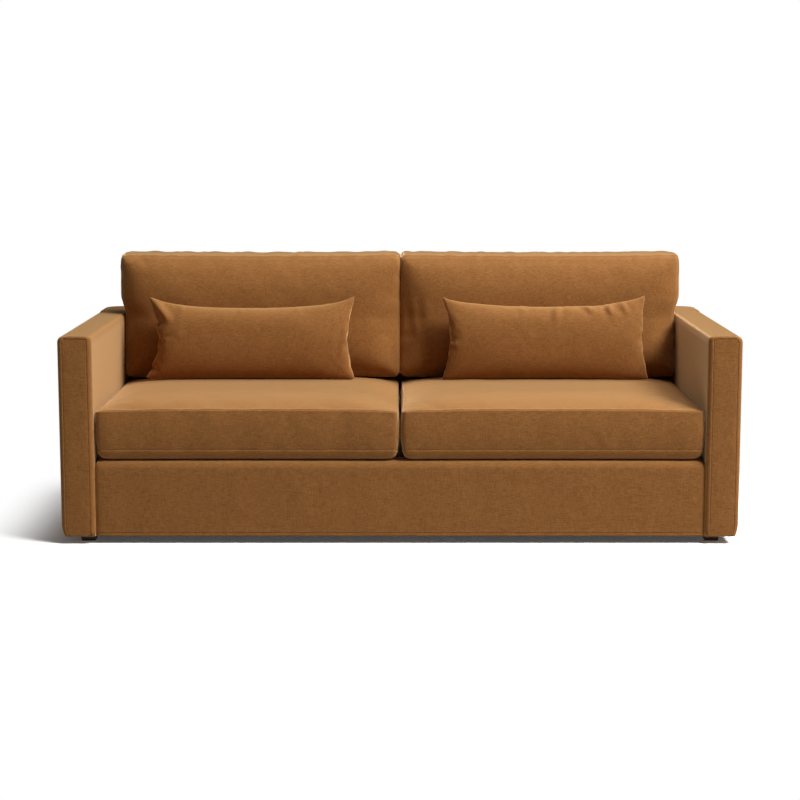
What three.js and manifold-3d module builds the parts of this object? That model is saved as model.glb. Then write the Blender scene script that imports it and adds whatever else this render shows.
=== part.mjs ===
// A two-seat tuxedo sofa: a timber frame with sinuous springs, padded arms and back of one
// height, two boxed seat cushions, two boxed back cushions and two lumbar pillows.
// Millimetres, +X to the right as seen from the front, +Y to the rear, +Z up.
// The origin is on the floor, below the middle of the sofa.
import * as THREE from "three";
import { mergeVertices } from "three/addons/utils/BufferGeometryUtils.js";
import Module from "manifold-3d";

const wasm = await Module();
wasm.setup();

// Overall sizes
const overallWidth = 2134;
const overallDepth = 1016;
const armHeight = 660;
const armThickness = 107;
const backTopThickness = 161;
const backLeanShare = 0.205;
const footHeight = 25;

// Upholstery of the fixed parts
const padding = 22;
const edgeRounding = 10;
const armOuterRounding = 14;
const armCurlIn = 8;
const armCurlHeight = 40;
const armPanelSideSeam = 14;
const armPanelTopSeam = 7;
const backCornerRadius = 60;
const borderSetback = 10;
const borderRounding = 14;
const borderOverlap = 58;

// Timber
const boardThickness = 30;
const sideRailHeight = 100;
const frontRailHeight = 211;
const rearSeatRailHeight = 100;
const stretcherHeight = 80;
const stretcherDrop = 40;
const cornerBlockLeg = 80;
const cornerBlockHeight = 60;
const frontPostDepth = 40;
const rearPostDepth = 60;
const topRailThickness = 25;
const armSlatHeight = 70;
const armSlatThickness = 25;
const backLowerRailHeight = 80;
const backLowerRailThickness = 25;

// Springs, webbing and deck
const springCount = 8;
const springWaves = 10;
const springTieCount = 2;
const wireThickness = 4;
const springAmplitude = 22;
const springEndLength = 42;
const springEdgeMargin = 120;
const clipStripDepth = 18;
const clipStripWall = 2.5;
const webbingWidth = 50;
const webbingThickness = 2.4;
const webbingColumns = 8;
const webbingRows = 2;
const deckPadThickness = 22;
const deckCoverThickness = 2.5;
const dustCoverThickness = 1.7;

// Feet
const footTopWidth = 50;
const footBottomWidth = 44;
const footFromEnd = 75;
const boltRadius = 4;
const boltEdgeDistance = 8;
const boltInFoot = 16;
const boltInTimber = 40;

// Seat cushions
const middleGap = 4;
const seatSideGap = 3;
const seatRearGap = 4.6;
const seatThickness = 159;
const seatCrown = 31;
const seatCrownPowers = [8, 6];
const seatEndDrop = 8;
const seatCornerRadius = 18;
const seatDrawIn = 4;
const seatBoxingBulge = 4;
const seatBottomRounding = 22;
const seatWall = 24;

// Back cushions
const backCushionSideGap = 1;
const backCushionHeight = 430;
const backCushionThickness = 166;
const backCushionCrown = 34;
const backCushionRearCrown = 12;
const backCushionCrownPowers = [4, 4];
const backCushionEndDrop = 6;
const backCushionCornerRadius = 24;
const backCushionDrawIn = 5;
const backCushionBulge = 14;
const backCushionRounding = 20;
const backCushionWall = 30;

// Lumbar pillows
const pillowHeight = 280;
const pillowThickness = 122;
const pillowLeanShare = 0.12;
const pillowFromMiddle = 150;
const pillowFromArm = 98;
const pillowSideDrawIn = 20;
const pillowTopDrawIn = 30;
const pillowBottomDrawIn = 6;
const pillowSeamWall = 34;
const pillowFaceWall = 15;
const pillowSlotHeight = 3;

// Fits: the gap kept where pieces meet, and how much of a pillow's lower edge is pressed flat
const clearance = 0.3;
const pressedFlat = 1.2;
const overrun = 5;
const zipWidth = 8;
const zipTapeThickness = 3;
const zipSliderLength = 12;
const zipLengthShare = 0.62;

// Levels and planes worked out from the sizes above
const halfWidth = overallWidth / 2;
const armInside = halfWidth - armThickness;
const frontFace = -overallDepth / 2;
const rearFace = overallDepth / 2;
const borderFace = frontFace + borderSetback;
const backJoint = rearFace - backTopThickness;
const frameBottom = footHeight + dustCoverThickness + clearance;
const railTop = frameBottom + frontRailHeight;
const wireBottom = railTop + clearance;
const wireTop = wireBottom + wireThickness;
const clipStripTop = wireTop + clearance + clipStripWall;
const deckPadBottom = wireTop + clearance;
const deckPadTop = deckPadBottom + deckPadThickness;
const deckTop = deckPadTop + clearance + deckCoverThickness;
const frameTop = armHeight - padding - clearance;
const postTop = frameTop - topRailThickness - clearance;
const cavityInside = armInside + padding;
const cavityOutside = halfWidth - padding;
const timberInside = cavityInside + clearance;
const timberOutside = cavityOutside - clearance;
const frontRailFace = borderFace + padding + clearance;
const frontRailRear = frontRailFace + boardThickness;
const frontPostFace = frontFace + padding + clearance;
const frontPostRear = frontPostFace + frontPostDepth;
const armRear = backJoint - clearance / 2;
const backFront = backJoint + clearance / 2;
const rearPostFace = armRear - rearPostDepth;
const rearSeatRailFace = armRear - boardThickness;
const timberRear = rearFace - padding - clearance;
const webbingFace = backJoint + padding + clearance;
const backRailFace = webbingFace + webbingThickness + clearance;
const lowerRailRear = backRailFace + backLowerRailThickness;
const innerPadTop = armHeight - edgeRounding;

// Front to rear place of the back's leaning inner face at a height.
const innerBackAt = (z) => backJoint - (armHeight - z) * backLeanShare;

const innerBackBottom = clipStripTop + clearance;
const deckRear = innerBackAt(innerBackBottom) - clearance;

// Materials, with the colours of the photograph
const finish = (color, roughness, metalness) =>
  new THREE.MeshStandardMaterial({ color, roughness, metalness });
const velvet = () => finish("#a8743f", 0.9, 0);
const panelVelvet = () => finish("#9c6b38", 0.9, 0);
const deckCloth = () => finish("#8f6f4c", 0.95, 0);
const blackCloth = () => finish("#26231f", 0.95, 0);
const foam = () => finish("#efe6cf", 0.95, 0);
const timber = () => finish("#c9a877", 0.7, 0);
const darkWood = () => finish("#2a1a12", 0.45, 0);
const steel = () => finish("#8e9296", 0.4, 1);
const webbing = () => finish("#b9ad93", 0.9, 0);
const zipPlastic = () => finish("#6b4a2a", 0.5, 0);

// A mesh in its parent's frame as a solid that can be joined and cut.
function solidOf(mesh) {
  mesh.updateWorldMatrix(true, false);
  const geometry = mesh.geometry.clone().applyMatrix4(mesh.matrixWorld);
  geometry.deleteAttribute("normal");
  geometry.deleteAttribute("uv");
  const merged = mergeVertices(geometry);
  return new wasm.Manifold(
    new wasm.Mesh({
      numProp: 3,
      vertProperties: merged.getAttribute("position").array,
      triVerts: new Uint32Array(merged.index.array),
    }),
  );
}

// Gives a mesh the shape of a solid, seen from the mesh's own frame.
function takeShape(mesh, solid) {
  const { vertProperties, triVerts } = solid.getMesh();
  const geometry = new THREE.BufferGeometry();
  geometry.setAttribute("position", new THREE.BufferAttribute(vertProperties, 3));
  geometry.setIndex(new THREE.BufferAttribute(triVerts, 1));
  geometry.applyMatrix4(mesh.matrixWorld.clone().invert());
  geometry.computeVertexNormals();
  mesh.geometry = geometry;
  return mesh;
}

function cut(mesh, ...tools) {
  const solid = tools.reduce((rest, tool) => rest.subtract(solidOf(tool)), solidOf(mesh));
  return takeShape(mesh, solid);
}

function join(mesh, ...others) {
  const solid = others.reduce((whole, other) => whole.add(solidOf(other)), solidOf(mesh));
  return takeShape(mesh, solid);
}

// A block between two opposite corners.
function block(name, material, low, high) {
  const size = high.map((value, axis) => value - low[axis]);
  const mesh = new THREE.Mesh(new THREE.BoxGeometry(...size), material);
  mesh.name = name;
  mesh.position.set(...low.map((value, axis) => value + size[axis] / 2));
  return mesh;
}

// The block's own space, larger all round by a gap.
function roomFor(mesh, gap = clearance) {
  mesh.geometry.computeBoundingBox();
  const { min, max } = mesh.geometry.boundingBox;
  const low = min.clone().add(mesh.position).subScalar(gap);
  const high = max.clone().add(mesh.position).addScalar(gap);
  return block("", null, low.toArray(), high.toArray());
}

// An outline in X and Z carried forwards, from a rear plane over a length.
function carriedForward(name, material, shape, rear, length) {
  const geometry = new THREE.ExtrudeGeometry(shape, {
    depth: length,
    bevelEnabled: false,
    curveSegments: 4,
  });
  const mesh = new THREE.Mesh(geometry, material);
  mesh.name = name;
  mesh.rotation.x = Math.PI / 2;
  mesh.position.y = rear;
  return mesh;
}

// An outline in Y and Z carried across the sofa, from a left side over a length.
function carriedAcross(name, material, points, left, length) {
  const shape = points instanceof THREE.Shape ? points : outlineOf(points);
  const geometry = new THREE.ExtrudeGeometry(shape, {
    depth: length,
    bevelEnabled: false,
    curveSegments: 5,
  });
  const mesh = new THREE.Mesh(geometry, material);
  mesh.name = name;
  mesh.rotation.set(Math.PI / 2, Math.PI / 2, 0);
  mesh.position.x = left;
  return mesh;
}

function outlineOf(points) {
  return new THREE.Shape(points.map(([x, y]) => new THREE.Vector2(x, y)));
}

// Timber seat frame: front, rear and spring rails, side rails, a stretcher and corner blocks.
function seatFrame() {
  const group = new THREE.Group();
  group.add(
    block(
      "front_rail",
      timber(),
      [-cavityInside, frontRailFace, frameBottom],
      [cavityInside, frontRailRear, railTop],
    ),
    block(
      "rear_seat_rail",
      timber(),
      [-cavityInside, rearSeatRailFace, railTop - rearSeatRailHeight],
      [cavityInside, armRear, railTop],
    ),
    block(
      "rear_rail",
      timber(),
      [-cavityInside, timberRear - boardThickness, frameBottom],
      [cavityInside, timberRear, frameBottom + sideRailHeight],
    ),
    block(
      "center_stretcher",
      timber(),
      [-boardThickness / 2, frontRailRear + clearance, railTop - stretcherDrop - stretcherHeight],
      [boardThickness / 2, rearSeatRailFace - clearance, railTop - stretcherDrop],
    ),
  );
  return group;
}

// A three-cornered block glued in the corner of the front rail and a side rail.
function cornerBlock(name, side) {
  const inner = frontRailRear + clearance;
  const shape = outlineOf([
    [side * cavityInside, inner],
    [side * cavityInside, inner + cornerBlockLeg],
    [side * (cavityInside - cornerBlockLeg), inner],
  ]);
  const geometry = new THREE.ExtrudeGeometry(shape, {
    depth: cornerBlockHeight,
    bevelEnabled: false,
  });
  const mesh = new THREE.Mesh(geometry, timber());
  mesh.name = name;
  mesh.position.z = frameBottom;
  return mesh;
}

// A block on one side of the sofa: its inner and outer faces are distances from the middle.
function sideBlock(name, material, side, inner, outer, low, high) {
  const xs = [side * inner, side * outer].sort((a, b) => a - b);
  return block(name, material, [xs[0], ...low], [xs[1], ...high]);
}

// Timber of one arm: two posts, a side rail below, a top rail and a slat behind the padding.
function armFrame(sideName, side) {
  const boardOutside = timberInside + boardThickness;
  const slatMiddle = (railTop + frameTop) / 2;
  const alongLow = frontPostRear + clearance;
  const alongHigh = rearPostFace - clearance;
  return [
    sideBlock(
      `arm_front_post_${sideName}`,
      timber(),
      side,
      timberInside,
      timberOutside,
      [frontPostFace, frameBottom],
      [frontPostRear, postTop],
    ),
    sideBlock(
      `arm_rear_post_${sideName}`,
      timber(),
      side,
      timberInside,
      boardOutside,
      [rearPostFace, frameBottom],
      [armRear, postTop],
    ),
    sideBlock(
      `arm_top_rail_${sideName}`,
      timber(),
      side,
      timberInside,
      timberOutside,
      [frontPostFace, frameTop - topRailThickness],
      [armRear, frameTop],
    ),
    sideBlock(
      `side_rail_${sideName}`,
      timber(),
      side,
      timberInside,
      boardOutside,
      [alongLow, frameBottom],
      [alongHigh, frameBottom + sideRailHeight],
    ),
    sideBlock(
      `arm_slat_${sideName}`,
      timber(),
      side,
      timberInside,
      timberInside + armSlatThickness,
      [alongLow, slatMiddle - armSlatHeight / 2],
      [alongHigh, slatMiddle + armSlatHeight / 2],
    ),
  ];
}

// Timber of the back: side boards, a middle post, a top rail and the rail that holds the webbing.
function backFrame() {
  const sideBoards = sides.map(([sideName, side]) =>
    sideBlock(
      `back_post_${sideName}`,
      timber(),
      side,
      timberInside,
      timberInside + boardThickness,
      [backFront, frameBottom],
      [timberRear, postTop],
    ),
  );
  return [
    ...sideBoards,
    block(
      "back_post_center",
      timber(),
      [-boardThickness / 2, lowerRailRear + clearance, frameBottom],
      [boardThickness / 2, timberRear - boardThickness - clearance, postTop],
    ),
    block(
      "back_top_rail",
      timber(),
      [-timberOutside, backRailFace, frameTop - topRailThickness],
      [timberOutside, timberRear, frameTop],
    ),
    block(
      "back_lower_rail",
      timber(),
      [-cavityInside, backRailFace, deckTop],
      [cavityInside, lowerRailRear, deckTop + backLowerRailHeight],
    ),
  ];
}

// The line of one sinuous spring: straight ends held in the clips, and waves between them.
class SpringLine extends THREE.Curve {
  constructor(x, low, high, z) {
    super();
    Object.assign(this, { x, low, high, z });
  }

  getPoint(share) {
    const along = this.low + share * (this.high - this.low);
    const waveLow = this.low + springEndLength;
    const waveHigh = this.high - springEndLength;
    const phase = THREE.MathUtils.clamp((along - waveLow) / (waveHigh - waveLow), 0, 1);
    const sway = springAmplitude * Math.sin(2 * Math.PI * springWaves * phase);
    return new THREE.Vector3(this.x + sway, along, this.z);
  }
}

function springPlaces() {
  const reach = armInside - springEdgeMargin;
  const step = (2 * reach) / (springCount - 1);
  return Array.from({ length: springCount }, (_, index) => -reach + index * step);
}

// The springs run from the front rail to the rear seat rail, tied to each other by cross wires.
function seatSprings() {
  const half = wireThickness / 2;
  const low = frontRailFace + clipStripDepth / 2;
  const high = armRear - clipStripDepth / 2;
  const section = outlineOf([
    [-half, -half],
    [half, -half],
    [half, half],
    [-half, half],
  ]);
  const springs = springPlaces().map((x) => {
    const line = new SpringLine(x, low, high, wireBottom + half);
    const geometry = new THREE.ExtrudeGeometry(section, {
      steps: springWaves * 4 + 4,
      extrudePath: line,
      bevelEnabled: false,
    });
    return new THREE.Mesh(geometry, steel());
  });
  const reach = armInside - springEdgeMargin + springAmplitude;
  const ties = Array.from({ length: springTieCount }, (_, index) => {
    const y = low + ((index + 1) * (high - low)) / (springTieCount + 1);
    return block(
      "",
      steel(),
      [-reach, y - half, wireBottom],
      [reach, y + half, wireTop],
    );
  });
  const [first, ...others] = springs;
  first.name = "seat_springs";
  return join(first, ...others, ...ties);
}

// A pressed strip on a rail, with a socket for the end of each spring.
function clipStrip(name, low, socketSide) {
  const high = low + clipStripDepth;
  const reach = armInside - springEdgeMargin / 2;
  const strip = block(name, steel(), [-reach, low, railTop], [reach, high, clipStripTop]);
  const half = wireThickness / 2 + clearance;
  const middle = (low + high) / 2;
  const socketEnds = [middle - socketSide * clearance, middle + socketSide * clipStripDepth];
  const sockets = springPlaces().map((x) =>
    block(
      "",
      null,
      [x - half, Math.min(...socketEnds), railTop - overrun],
      [x + half, Math.max(...socketEnds), wireTop + clearance],
    ),
  );
  return cut(strip, ...sockets);
}

// Upright and level straps of the back, woven into one net on the front of the back rails.
function backWebbing() {
  const low = deckTop;
  const reach = cavityInside - clearance;
  const step = (2 * reach) / webbingColumns;
  const uprights = Array.from({ length: webbingColumns }, (_, index) => {
    const x = -reach + (index + 0.5) * step;
    return block(
      "",
      webbing(),
      [x - webbingWidth / 2, webbingFace, low],
      [x + webbingWidth / 2, webbingFace + webbingThickness, frameTop],
    );
  });
  const rows = Array.from({ length: webbingRows }, (_, index) => {
    const clearHeight = frameTop - topRailThickness - low - backLowerRailHeight;
    const z = low + backLowerRailHeight + ((index + 1) * clearHeight) / (webbingRows + 1);
    return block(
      "back_webbing",
      webbing(),
      [-reach, webbingFace, z - webbingWidth / 2],
      [reach, webbingFace + webbingThickness, z + webbingWidth / 2],
    );
  });
  const [first, ...others] = rows;
  return join(first, ...others, ...uprights);
}

// Outline of an arm from the front, inset by a seam distance at its sides and top.
function armOutline(side, sideInset, topInset) {
  const inner = side * (armInside + sideInset);
  const outer = side * (halfWidth - sideInset);
  const top = armHeight - topInset;
  const innerRadius = edgeRounding - topInset / 2;
  const outerRadius = armOuterRounding - topInset / 2;
  const shape = new THREE.Shape();
  shape.moveTo(inner, footHeight);
  shape.lineTo(inner, top - innerRadius);
  shape.quadraticCurveTo(inner, top, inner + side * innerRadius, top);
  shape.lineTo(outer - side * outerRadius, top);
  shape.quadraticCurveTo(outer, top, outer, top - outerRadius);
  shape.lineTo(outer, footHeight + armCurlHeight);
  shape.quadraticCurveTo(outer, footHeight, outer - side * armCurlIn, footHeight);
  shape.closePath();
  return shape;
}

// Padded cover of one arm: a shell over the arm's timber, open below, at the rear and in front,
// where the front panel closes it.
function armCover(sideName, side, frame, dustCover) {
  const cover = carriedForward(
    `arm_cover_${sideName}`,
    velvet(),
    armOutline(side, 0, 0),
    armRear,
    armRear - frontFace,
  );
  const panelRoom = carriedForward(
    "",
    null,
    armOutline(side, armPanelSideSeam - clearance, armPanelTopSeam - clearance),
    frontFace + padding,
    padding + overrun,
  );
  panelRoom.position.z = -clearance;
  const openBelow = sideBlock(
    "",
    null,
    side,
    armInside + armPanelSideSeam,
    halfWidth - armPanelSideSeam,
    [frontFace - overrun, footHeight - overrun],
    [frontFace + padding, footHeight + overrun],
  );
  const cavity = sideBlock(
    "",
    null,
    side,
    cavityInside,
    cavityOutside,
    [frontFace + padding - overrun, footHeight - overrun],
    [armRear + overrun, armHeight - padding],
  );
  const rooms = frame.map((piece) => roomFor(piece));
  return cut(cover, panelRoom, openBelow, cavity, roomFor(dustCover), ...rooms);
}

// The flat padded panel that closes the front of an arm, inside the sewn seam.
function armFrontPanel(sideName, side) {
  return carriedForward(
    `arm_front_panel_${sideName}`,
    panelVelvet(),
    armOutline(side, armPanelSideSeam, armPanelTopSeam),
    frontFace + padding - clearance,
    padding - clearance,
  );
}

// Padded cover of the back: a shell across the whole width with rounded rear corners.
function backCover() {
  const shape = new THREE.Shape();
  shape.moveTo(-halfWidth, backFront);
  shape.lineTo(halfWidth, backFront);
  shape.lineTo(halfWidth, rearFace - backCornerRadius);
  shape.absarc(
    halfWidth - backCornerRadius,
    rearFace - backCornerRadius,
    backCornerRadius,
    0,
    Math.PI / 2,
  );
  shape.lineTo(backCornerRadius - halfWidth, rearFace);
  shape.absarc(
    backCornerRadius - halfWidth,
    rearFace - backCornerRadius,
    backCornerRadius,
    Math.PI / 2,
    Math.PI,
  );
  shape.closePath();
  const geometry = new THREE.ExtrudeGeometry(shape, {
    depth: armHeight - footHeight - 2 * edgeRounding,
    bevelThickness: edgeRounding,
    bevelSize: edgeRounding,
    bevelOffset: -edgeRounding,
    bevelSegments: 2,
    curveSegments: 6,
  });
  const cover = new THREE.Mesh(geometry, velvet());
  cover.name = "back_cover";
  cover.position.z = footHeight + edgeRounding;
  const below = footHeight - overrun;
  const behindWall = backFront + padding;
  const cavity = block(
    "",
    null,
    [-cavityOutside, behindWall - clearance, below],
    [cavityOutside, rearFace - padding, armHeight - padding],
  );
  const belowDeck = block(
    "",
    null,
    [-cavityOutside, backFront - overrun, below],
    [cavityOutside, behindWall, clipStripTop + clearance],
  );
  const armWindows = sides.map(([, side]) =>
    sideBlock(
      "",
      null,
      side,
      cavityInside,
      cavityOutside,
      [backFront - overrun, below],
      [behindWall, armHeight - padding],
    ),
  );
  return cut(cover, cavity, belowDeck, ...armWindows);
}

// The padded inner back that the back cushions lean on, leaning at the back's slope.
function innerBack() {
  return carriedAcross(
    "inner_back",
    velvet(),
    [
      [innerBackAt(innerBackBottom), innerBackBottom],
      [innerBackAt(innerPadTop), innerPadTop],
      [armRear, innerPadTop],
      [armRear, innerBackBottom],
    ],
    clearance - armInside,
    2 * (armInside - clearance),
  );
}

// The padded front border, which wraps from the front of the front rail over its top.
function frontBorder() {
  const inner = frontRailFace - clearance;
  const underTop = clipStripTop + clearance;
  const legRear = borderFace + borderOverlap;
  const shape = new THREE.Shape();
  shape.moveTo(borderFace, footHeight);
  shape.lineTo(borderFace, deckTop - borderRounding);
  shape.quadraticCurveTo(borderFace, deckTop, borderFace + borderRounding, deckTop);
  shape.lineTo(legRear, deckTop);
  shape.lineTo(legRear, underTop);
  shape.lineTo(inner, underTop);
  shape.lineTo(inner, footHeight);
  shape.closePath();
  return carriedAcross(
    "front_border",
    velvet(),
    shape,
    clearance - armInside,
    2 * (armInside - clearance),
  );
}

// A pad on the springs and the cloth over it, between the front border and the inner back.
function deck() {
  const front = borderFace + borderOverlap + clearance;
  const reach = armInside - clearance;
  return [
    block("deck_pad", foam(), [-reach, front, deckPadBottom], [reach, deckRear, deckPadTop]),
    block(
      "deck_cover",
      deckCloth(),
      [-reach, front, deckPadTop + clearance],
      [reach, deckRear, deckTop],
    ),
  ];
}

function dustCoverSheet() {
  return block(
    "dust_cover",
    blackCloth(),
    [-timberOutside, frontRailFace, footHeight],
    [timberOutside, timberRear, footHeight + dustCoverThickness],
  );
}

// Places of the feet: below the side rails in front and the back's side boards at the rear.
function footPlaces() {
  const x = timberInside + boltEdgeDistance;
  return [
    ["front_left", -x, frontFace + footFromEnd],
    ["front_right", x, frontFace + footFromEnd],
    ["rear_left", -x, rearFace - footFromEnd],
    ["rear_right", x, rearFace - footFromEnd],
  ];
}

function upright(name, material, radiusTop, radiusBottom, sidesAround, x, y, low, high) {
  const geometry = new THREE.CylinderGeometry(radiusTop, radiusBottom, high - low, sidesAround);
  geometry.rotateY(Math.PI / sidesAround);
  geometry.rotateX(Math.PI / 2);
  const mesh = new THREE.Mesh(geometry, material);
  mesh.name = name;
  mesh.position.set(x, y, (low + high) / 2);
  return mesh;
}

// A tapered square foot, screwed to the frame by a bolt that stands in it.
function foot(place, x, y) {
  const top = footHeight - clearance;
  const body = upright(
    `foot_${place}`,
    darkWood(),
    footTopWidth * Math.SQRT1_2,
    footBottomWidth * Math.SQRT1_2,
    4,
    x,
    y,
    0,
    top,
  );
  const bolt = upright(
    `foot_bolt_${place}`,
    steel(),
    boltRadius,
    boltRadius,
    12,
    x,
    y,
    footHeight - boltInFoot,
    frameBottom + boltInTimber,
  );
  return [cut(body, boltRoom(x, y)), bolt];
}

function boltRoom(x, y) {
  const radius = boltRadius + clearance;
  return upright(
    "",
    null,
    radius,
    radius,
    12,
    x,
    y,
    footHeight - boltInFoot - clearance,
    frameBottom + boltInTimber + clearance,
  );
}

// A closed outline with rounded corners whose sides pull in between them, from the middle of
// one corner round to the next. Each inset ring has the same number of points.
function cushionRing(halfX, halfY, radius, drawIn, sideSteps, cornerSteps) {
  const points = [];
  const corners = [
    [1, 1],
    [-1, 1],
    [-1, -1],
    [1, -1],
  ];
  corners.forEach(([signX, signY], corner) => {
    for (let step = 0; step <= cornerSteps; step += 1) {
      const angle = (Math.PI / 2) * (corner + step / cornerSteps);
      points.push([
        signX * (halfX - radius) + radius * Math.cos(angle),
        signY * (halfY - radius) + radius * Math.sin(angle),
      ]);
    }
    const alongX = corner % 2 === 0;
    for (let step = 1; step < sideSteps; step += 1) {
      const along = 1 - (2 * step) / sideSteps;
      const pull = drawIn * (1 - along * along);
      points.push(
        alongX
          ? [signX * along * (halfX - radius), signY * (halfY - pull)]
          : [signX * (halfX - pull), signY * along * (halfY - radius)],
      );
    }
  });
  return points;
}

// Joins rings of equal length, the first and last closed by a fan, into one closed surface.
function closedRings(rings, firstCentre, lastCentre) {
  const count = rings[0].length;
  const positions = [...rings.flat(), firstCentre, lastCentre].flat();
  const firstIndex = rings.length * count;
  const lastStart = firstIndex - count;
  const triangles = [];
  for (let i = 0; i < count; i += 1) {
    const next = (i + 1) % count;
    triangles.push(firstIndex, next, i);
    triangles.push(firstIndex + 1, lastStart + i, lastStart + next);
    for (let ring = 0; ring + 1 < rings.length; ring += 1) {
      const low = ring * count;
      const high = low + count;
      triangles.push(low + i, low + next, high + next);
      triangles.push(low + i, high + next, high + i);
    }
  }
  const geometry = new THREE.BufferGeometry();
  geometry.setAttribute("position", new THREE.Float32BufferAttribute(positions, 3));
  geometry.setIndex(triangles);
  geometry.computeVertexNormals();
  return geometry;
}

// How much of a crown stands at a place, from 0 at the seams to 1 in the middle. u and v run
// from -1 to 1 across the cushion. A higher power gives a flatter middle and fuller edges.
function crownShare(u, v, [powerU, powerV]) {
  const sideShare = 1 - Math.min(Math.abs(u), 1) ** powerU;
  return sideShare * (1 - Math.min(Math.abs(v), 1) ** powerV);
}

// How much of a cushion's end drop stands at a place: none in the middle, all at its ends.
const endShare = (u) => u ** 4;

// A boxed cushion lying flat: its lower face at z = 0, its seams at both faces, the boxing
// bulging between them and a crown on each face.
function boxedCushion(sizes, inset, fine) {
  const halfX = sizes.width / 2 - inset;
  const halfY = sizes.depth / 2 - inset;
  const low = inset;
  const high = sizes.thickness - inset;
  const radius = Math.max(sizes.cornerRadius - inset / 2, clearance);
  const rounding = sizes.rounding;
  const sideSteps = fine ? 6 : 2;
  const cornerSteps = fine ? 3 : 1;
  const ring = (ringInset, level) =>
    cushionRing(
      halfX - ringInset,
      halfY - ringInset,
      radius,
      sizes.drawIn,
      sideSteps,
      cornerSteps,
    ).map(([x, y]) => [x, y, level(x / halfX, y / halfY)]);
  const crownAt = (u, v) => crownShare(u, v, sizes.crownPowers);
  const topAt = (u, v) => high + sizes.crown * crownAt(u, v) - sizes.endDrop * endShare(u);
  const bottomAt = (u, v) => low - sizes.rearCrown * crownAt(u, v);
  const topShares = fine ? [0.04, 0.1, 0.2, 0.38, 0.66] : [0.1, 0.5];
  const bottomShares = fine && sizes.rearCrown > 0 ? [0.6, 0.25] : [];
  const rings = [
    ...bottomShares.map((share) => ring(share * halfY, bottomAt)),
    ring(rounding, bottomAt),
    ring(rounding * 0.3, () => low + rounding * 0.3),
    ring(sizes.bulge, () => low + rounding),
    ring(0, () => (low + high) / 2),
    ring(sizes.bulge, topAt),
    ...topShares.map((share) => ring(sizes.bulge + share * halfY, topAt)),
  ];
  return closedRings(rings, [0, 0, bottomAt(0, 0)], [0, 0, topAt(0, 0)]);
}

const seatBottom = deckTop + clearance;
const seatDepth = innerBackAt(seatBottom) - seatRearGap - borderFace;
const seatSizes = {
  width: armInside - seatSideGap - middleGap / 2,
  depth: seatDepth,
  thickness: seatThickness,
  crown: seatCrown,
  rearCrown: 0,
  crownPowers: seatCrownPowers,
  endDrop: seatEndDrop,
  cornerRadius: seatCornerRadius,
  drawIn: seatDrawIn,
  bulge: seatBoxingBulge,
  rounding: seatBottomRounding,
};
const seatMiddleX = middleGap / 2 + seatSizes.width / 2;
const seatMiddleY = borderFace + seatDepth / 2;

// Height of a seat cushion's top at a distance from the sofa's middle and a depth.
function seatTopAt(x, y) {
  const u = (Math.abs(x) - seatMiddleX) / (seatSizes.width / 2);
  const v = (y - seatMiddleY) / (seatDepth / 2);
  const rise = seatCrown * crownShare(u, v, seatCrownPowers) - seatEndDrop * endShare(u);
  return seatBottom + seatThickness + rise;
}

const backCushionSizes = {
  width: armInside - backCushionSideGap - middleGap / 2,
  depth: backCushionHeight,
  thickness: backCushionThickness,
  crown: backCushionCrown,
  rearCrown: backCushionRearCrown,
  crownPowers: backCushionCrownPowers,
  endDrop: backCushionEndDrop,
  cornerRadius: backCushionCornerRadius,
  drawIn: backCushionDrawIn,
  bulge: backCushionBulge,
  rounding: backCushionRounding,
};
const backCushionX = middleGap / 2 + backCushionSizes.width / 2;
const backCushionFrontY = innerBackAt(deckTop + seatThickness) - backCushionThickness;
const backCushionBottom =
  seatTopAt(seatMiddleX, backCushionFrontY - backCushionBulge) + clearance;
const backCushionZ = backCushionBottom + backCushionHeight / 2 - backCushionBulge;

// Depth of a back cushion's front face at a height and a distance from the sofa's middle.
function backCushionFaceAt(x, z) {
  const u = (Math.abs(x) - backCushionX) / (backCushionSizes.width / 2);
  const v = (z - backCushionZ) / (backCushionHeight / 2);
  const crown = backCushionCrown * crownShare(u, v, backCushionCrownPowers);
  const thick = backCushionThickness + crown;
  return innerBackAt(z) - clearance - thick;
}

// Gives an upright form the back's lean and its place. The form lies flat with its height
// along Y and its front face up.
function leanOnBack(geometry, side, forward) {
  const stand = new THREE.Matrix4().makeRotationX(Math.PI / 2);
  const lean = new THREE.Matrix4().makeShear(0, 0, 0, 0, 0, backLeanShare);
  const place = new THREE.Matrix4().makeTranslation(
    side * backCushionX,
    innerBackAt(backCushionZ) - clearance - forward,
    backCushionZ,
  );
  return geometry.applyMatrix4(stand).applyMatrix4(lean).applyMatrix4(place);
}

// A narrow opening through a cushion's wall, and the zip that lies in its mouth.
function zipBox(name, material, middle, halfLength, face, inwards, wallDepth, gap, level) {
  const halfHeight = zipWidth / 2 - gap;
  const far = face + inwards * wallDepth;
  return block(
    name,
    material,
    [middle - halfLength + gap, Math.min(face, far), level - halfHeight],
    [middle + halfLength - gap, Math.max(face, far), level + halfHeight],
  );
}

// A cushion's zip: two tapes closed in one strip, with the slider behind one end.
function zip(name, middle, halfLength, face, inwards, level) {
  const tape = zipBox(
    name,
    zipPlastic(),
    middle,
    halfLength,
    face,
    inwards,
    zipTapeThickness,
    clearance,
    level,
  );
  const slider = zipBox(
    "",
    null,
    middle + halfLength - zipSliderLength,
    zipSliderLength / 2,
    face,
    inwards,
    2 * zipTapeThickness,
    2 * clearance,
    level,
  );
  return join(tape, slider);
}

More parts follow.
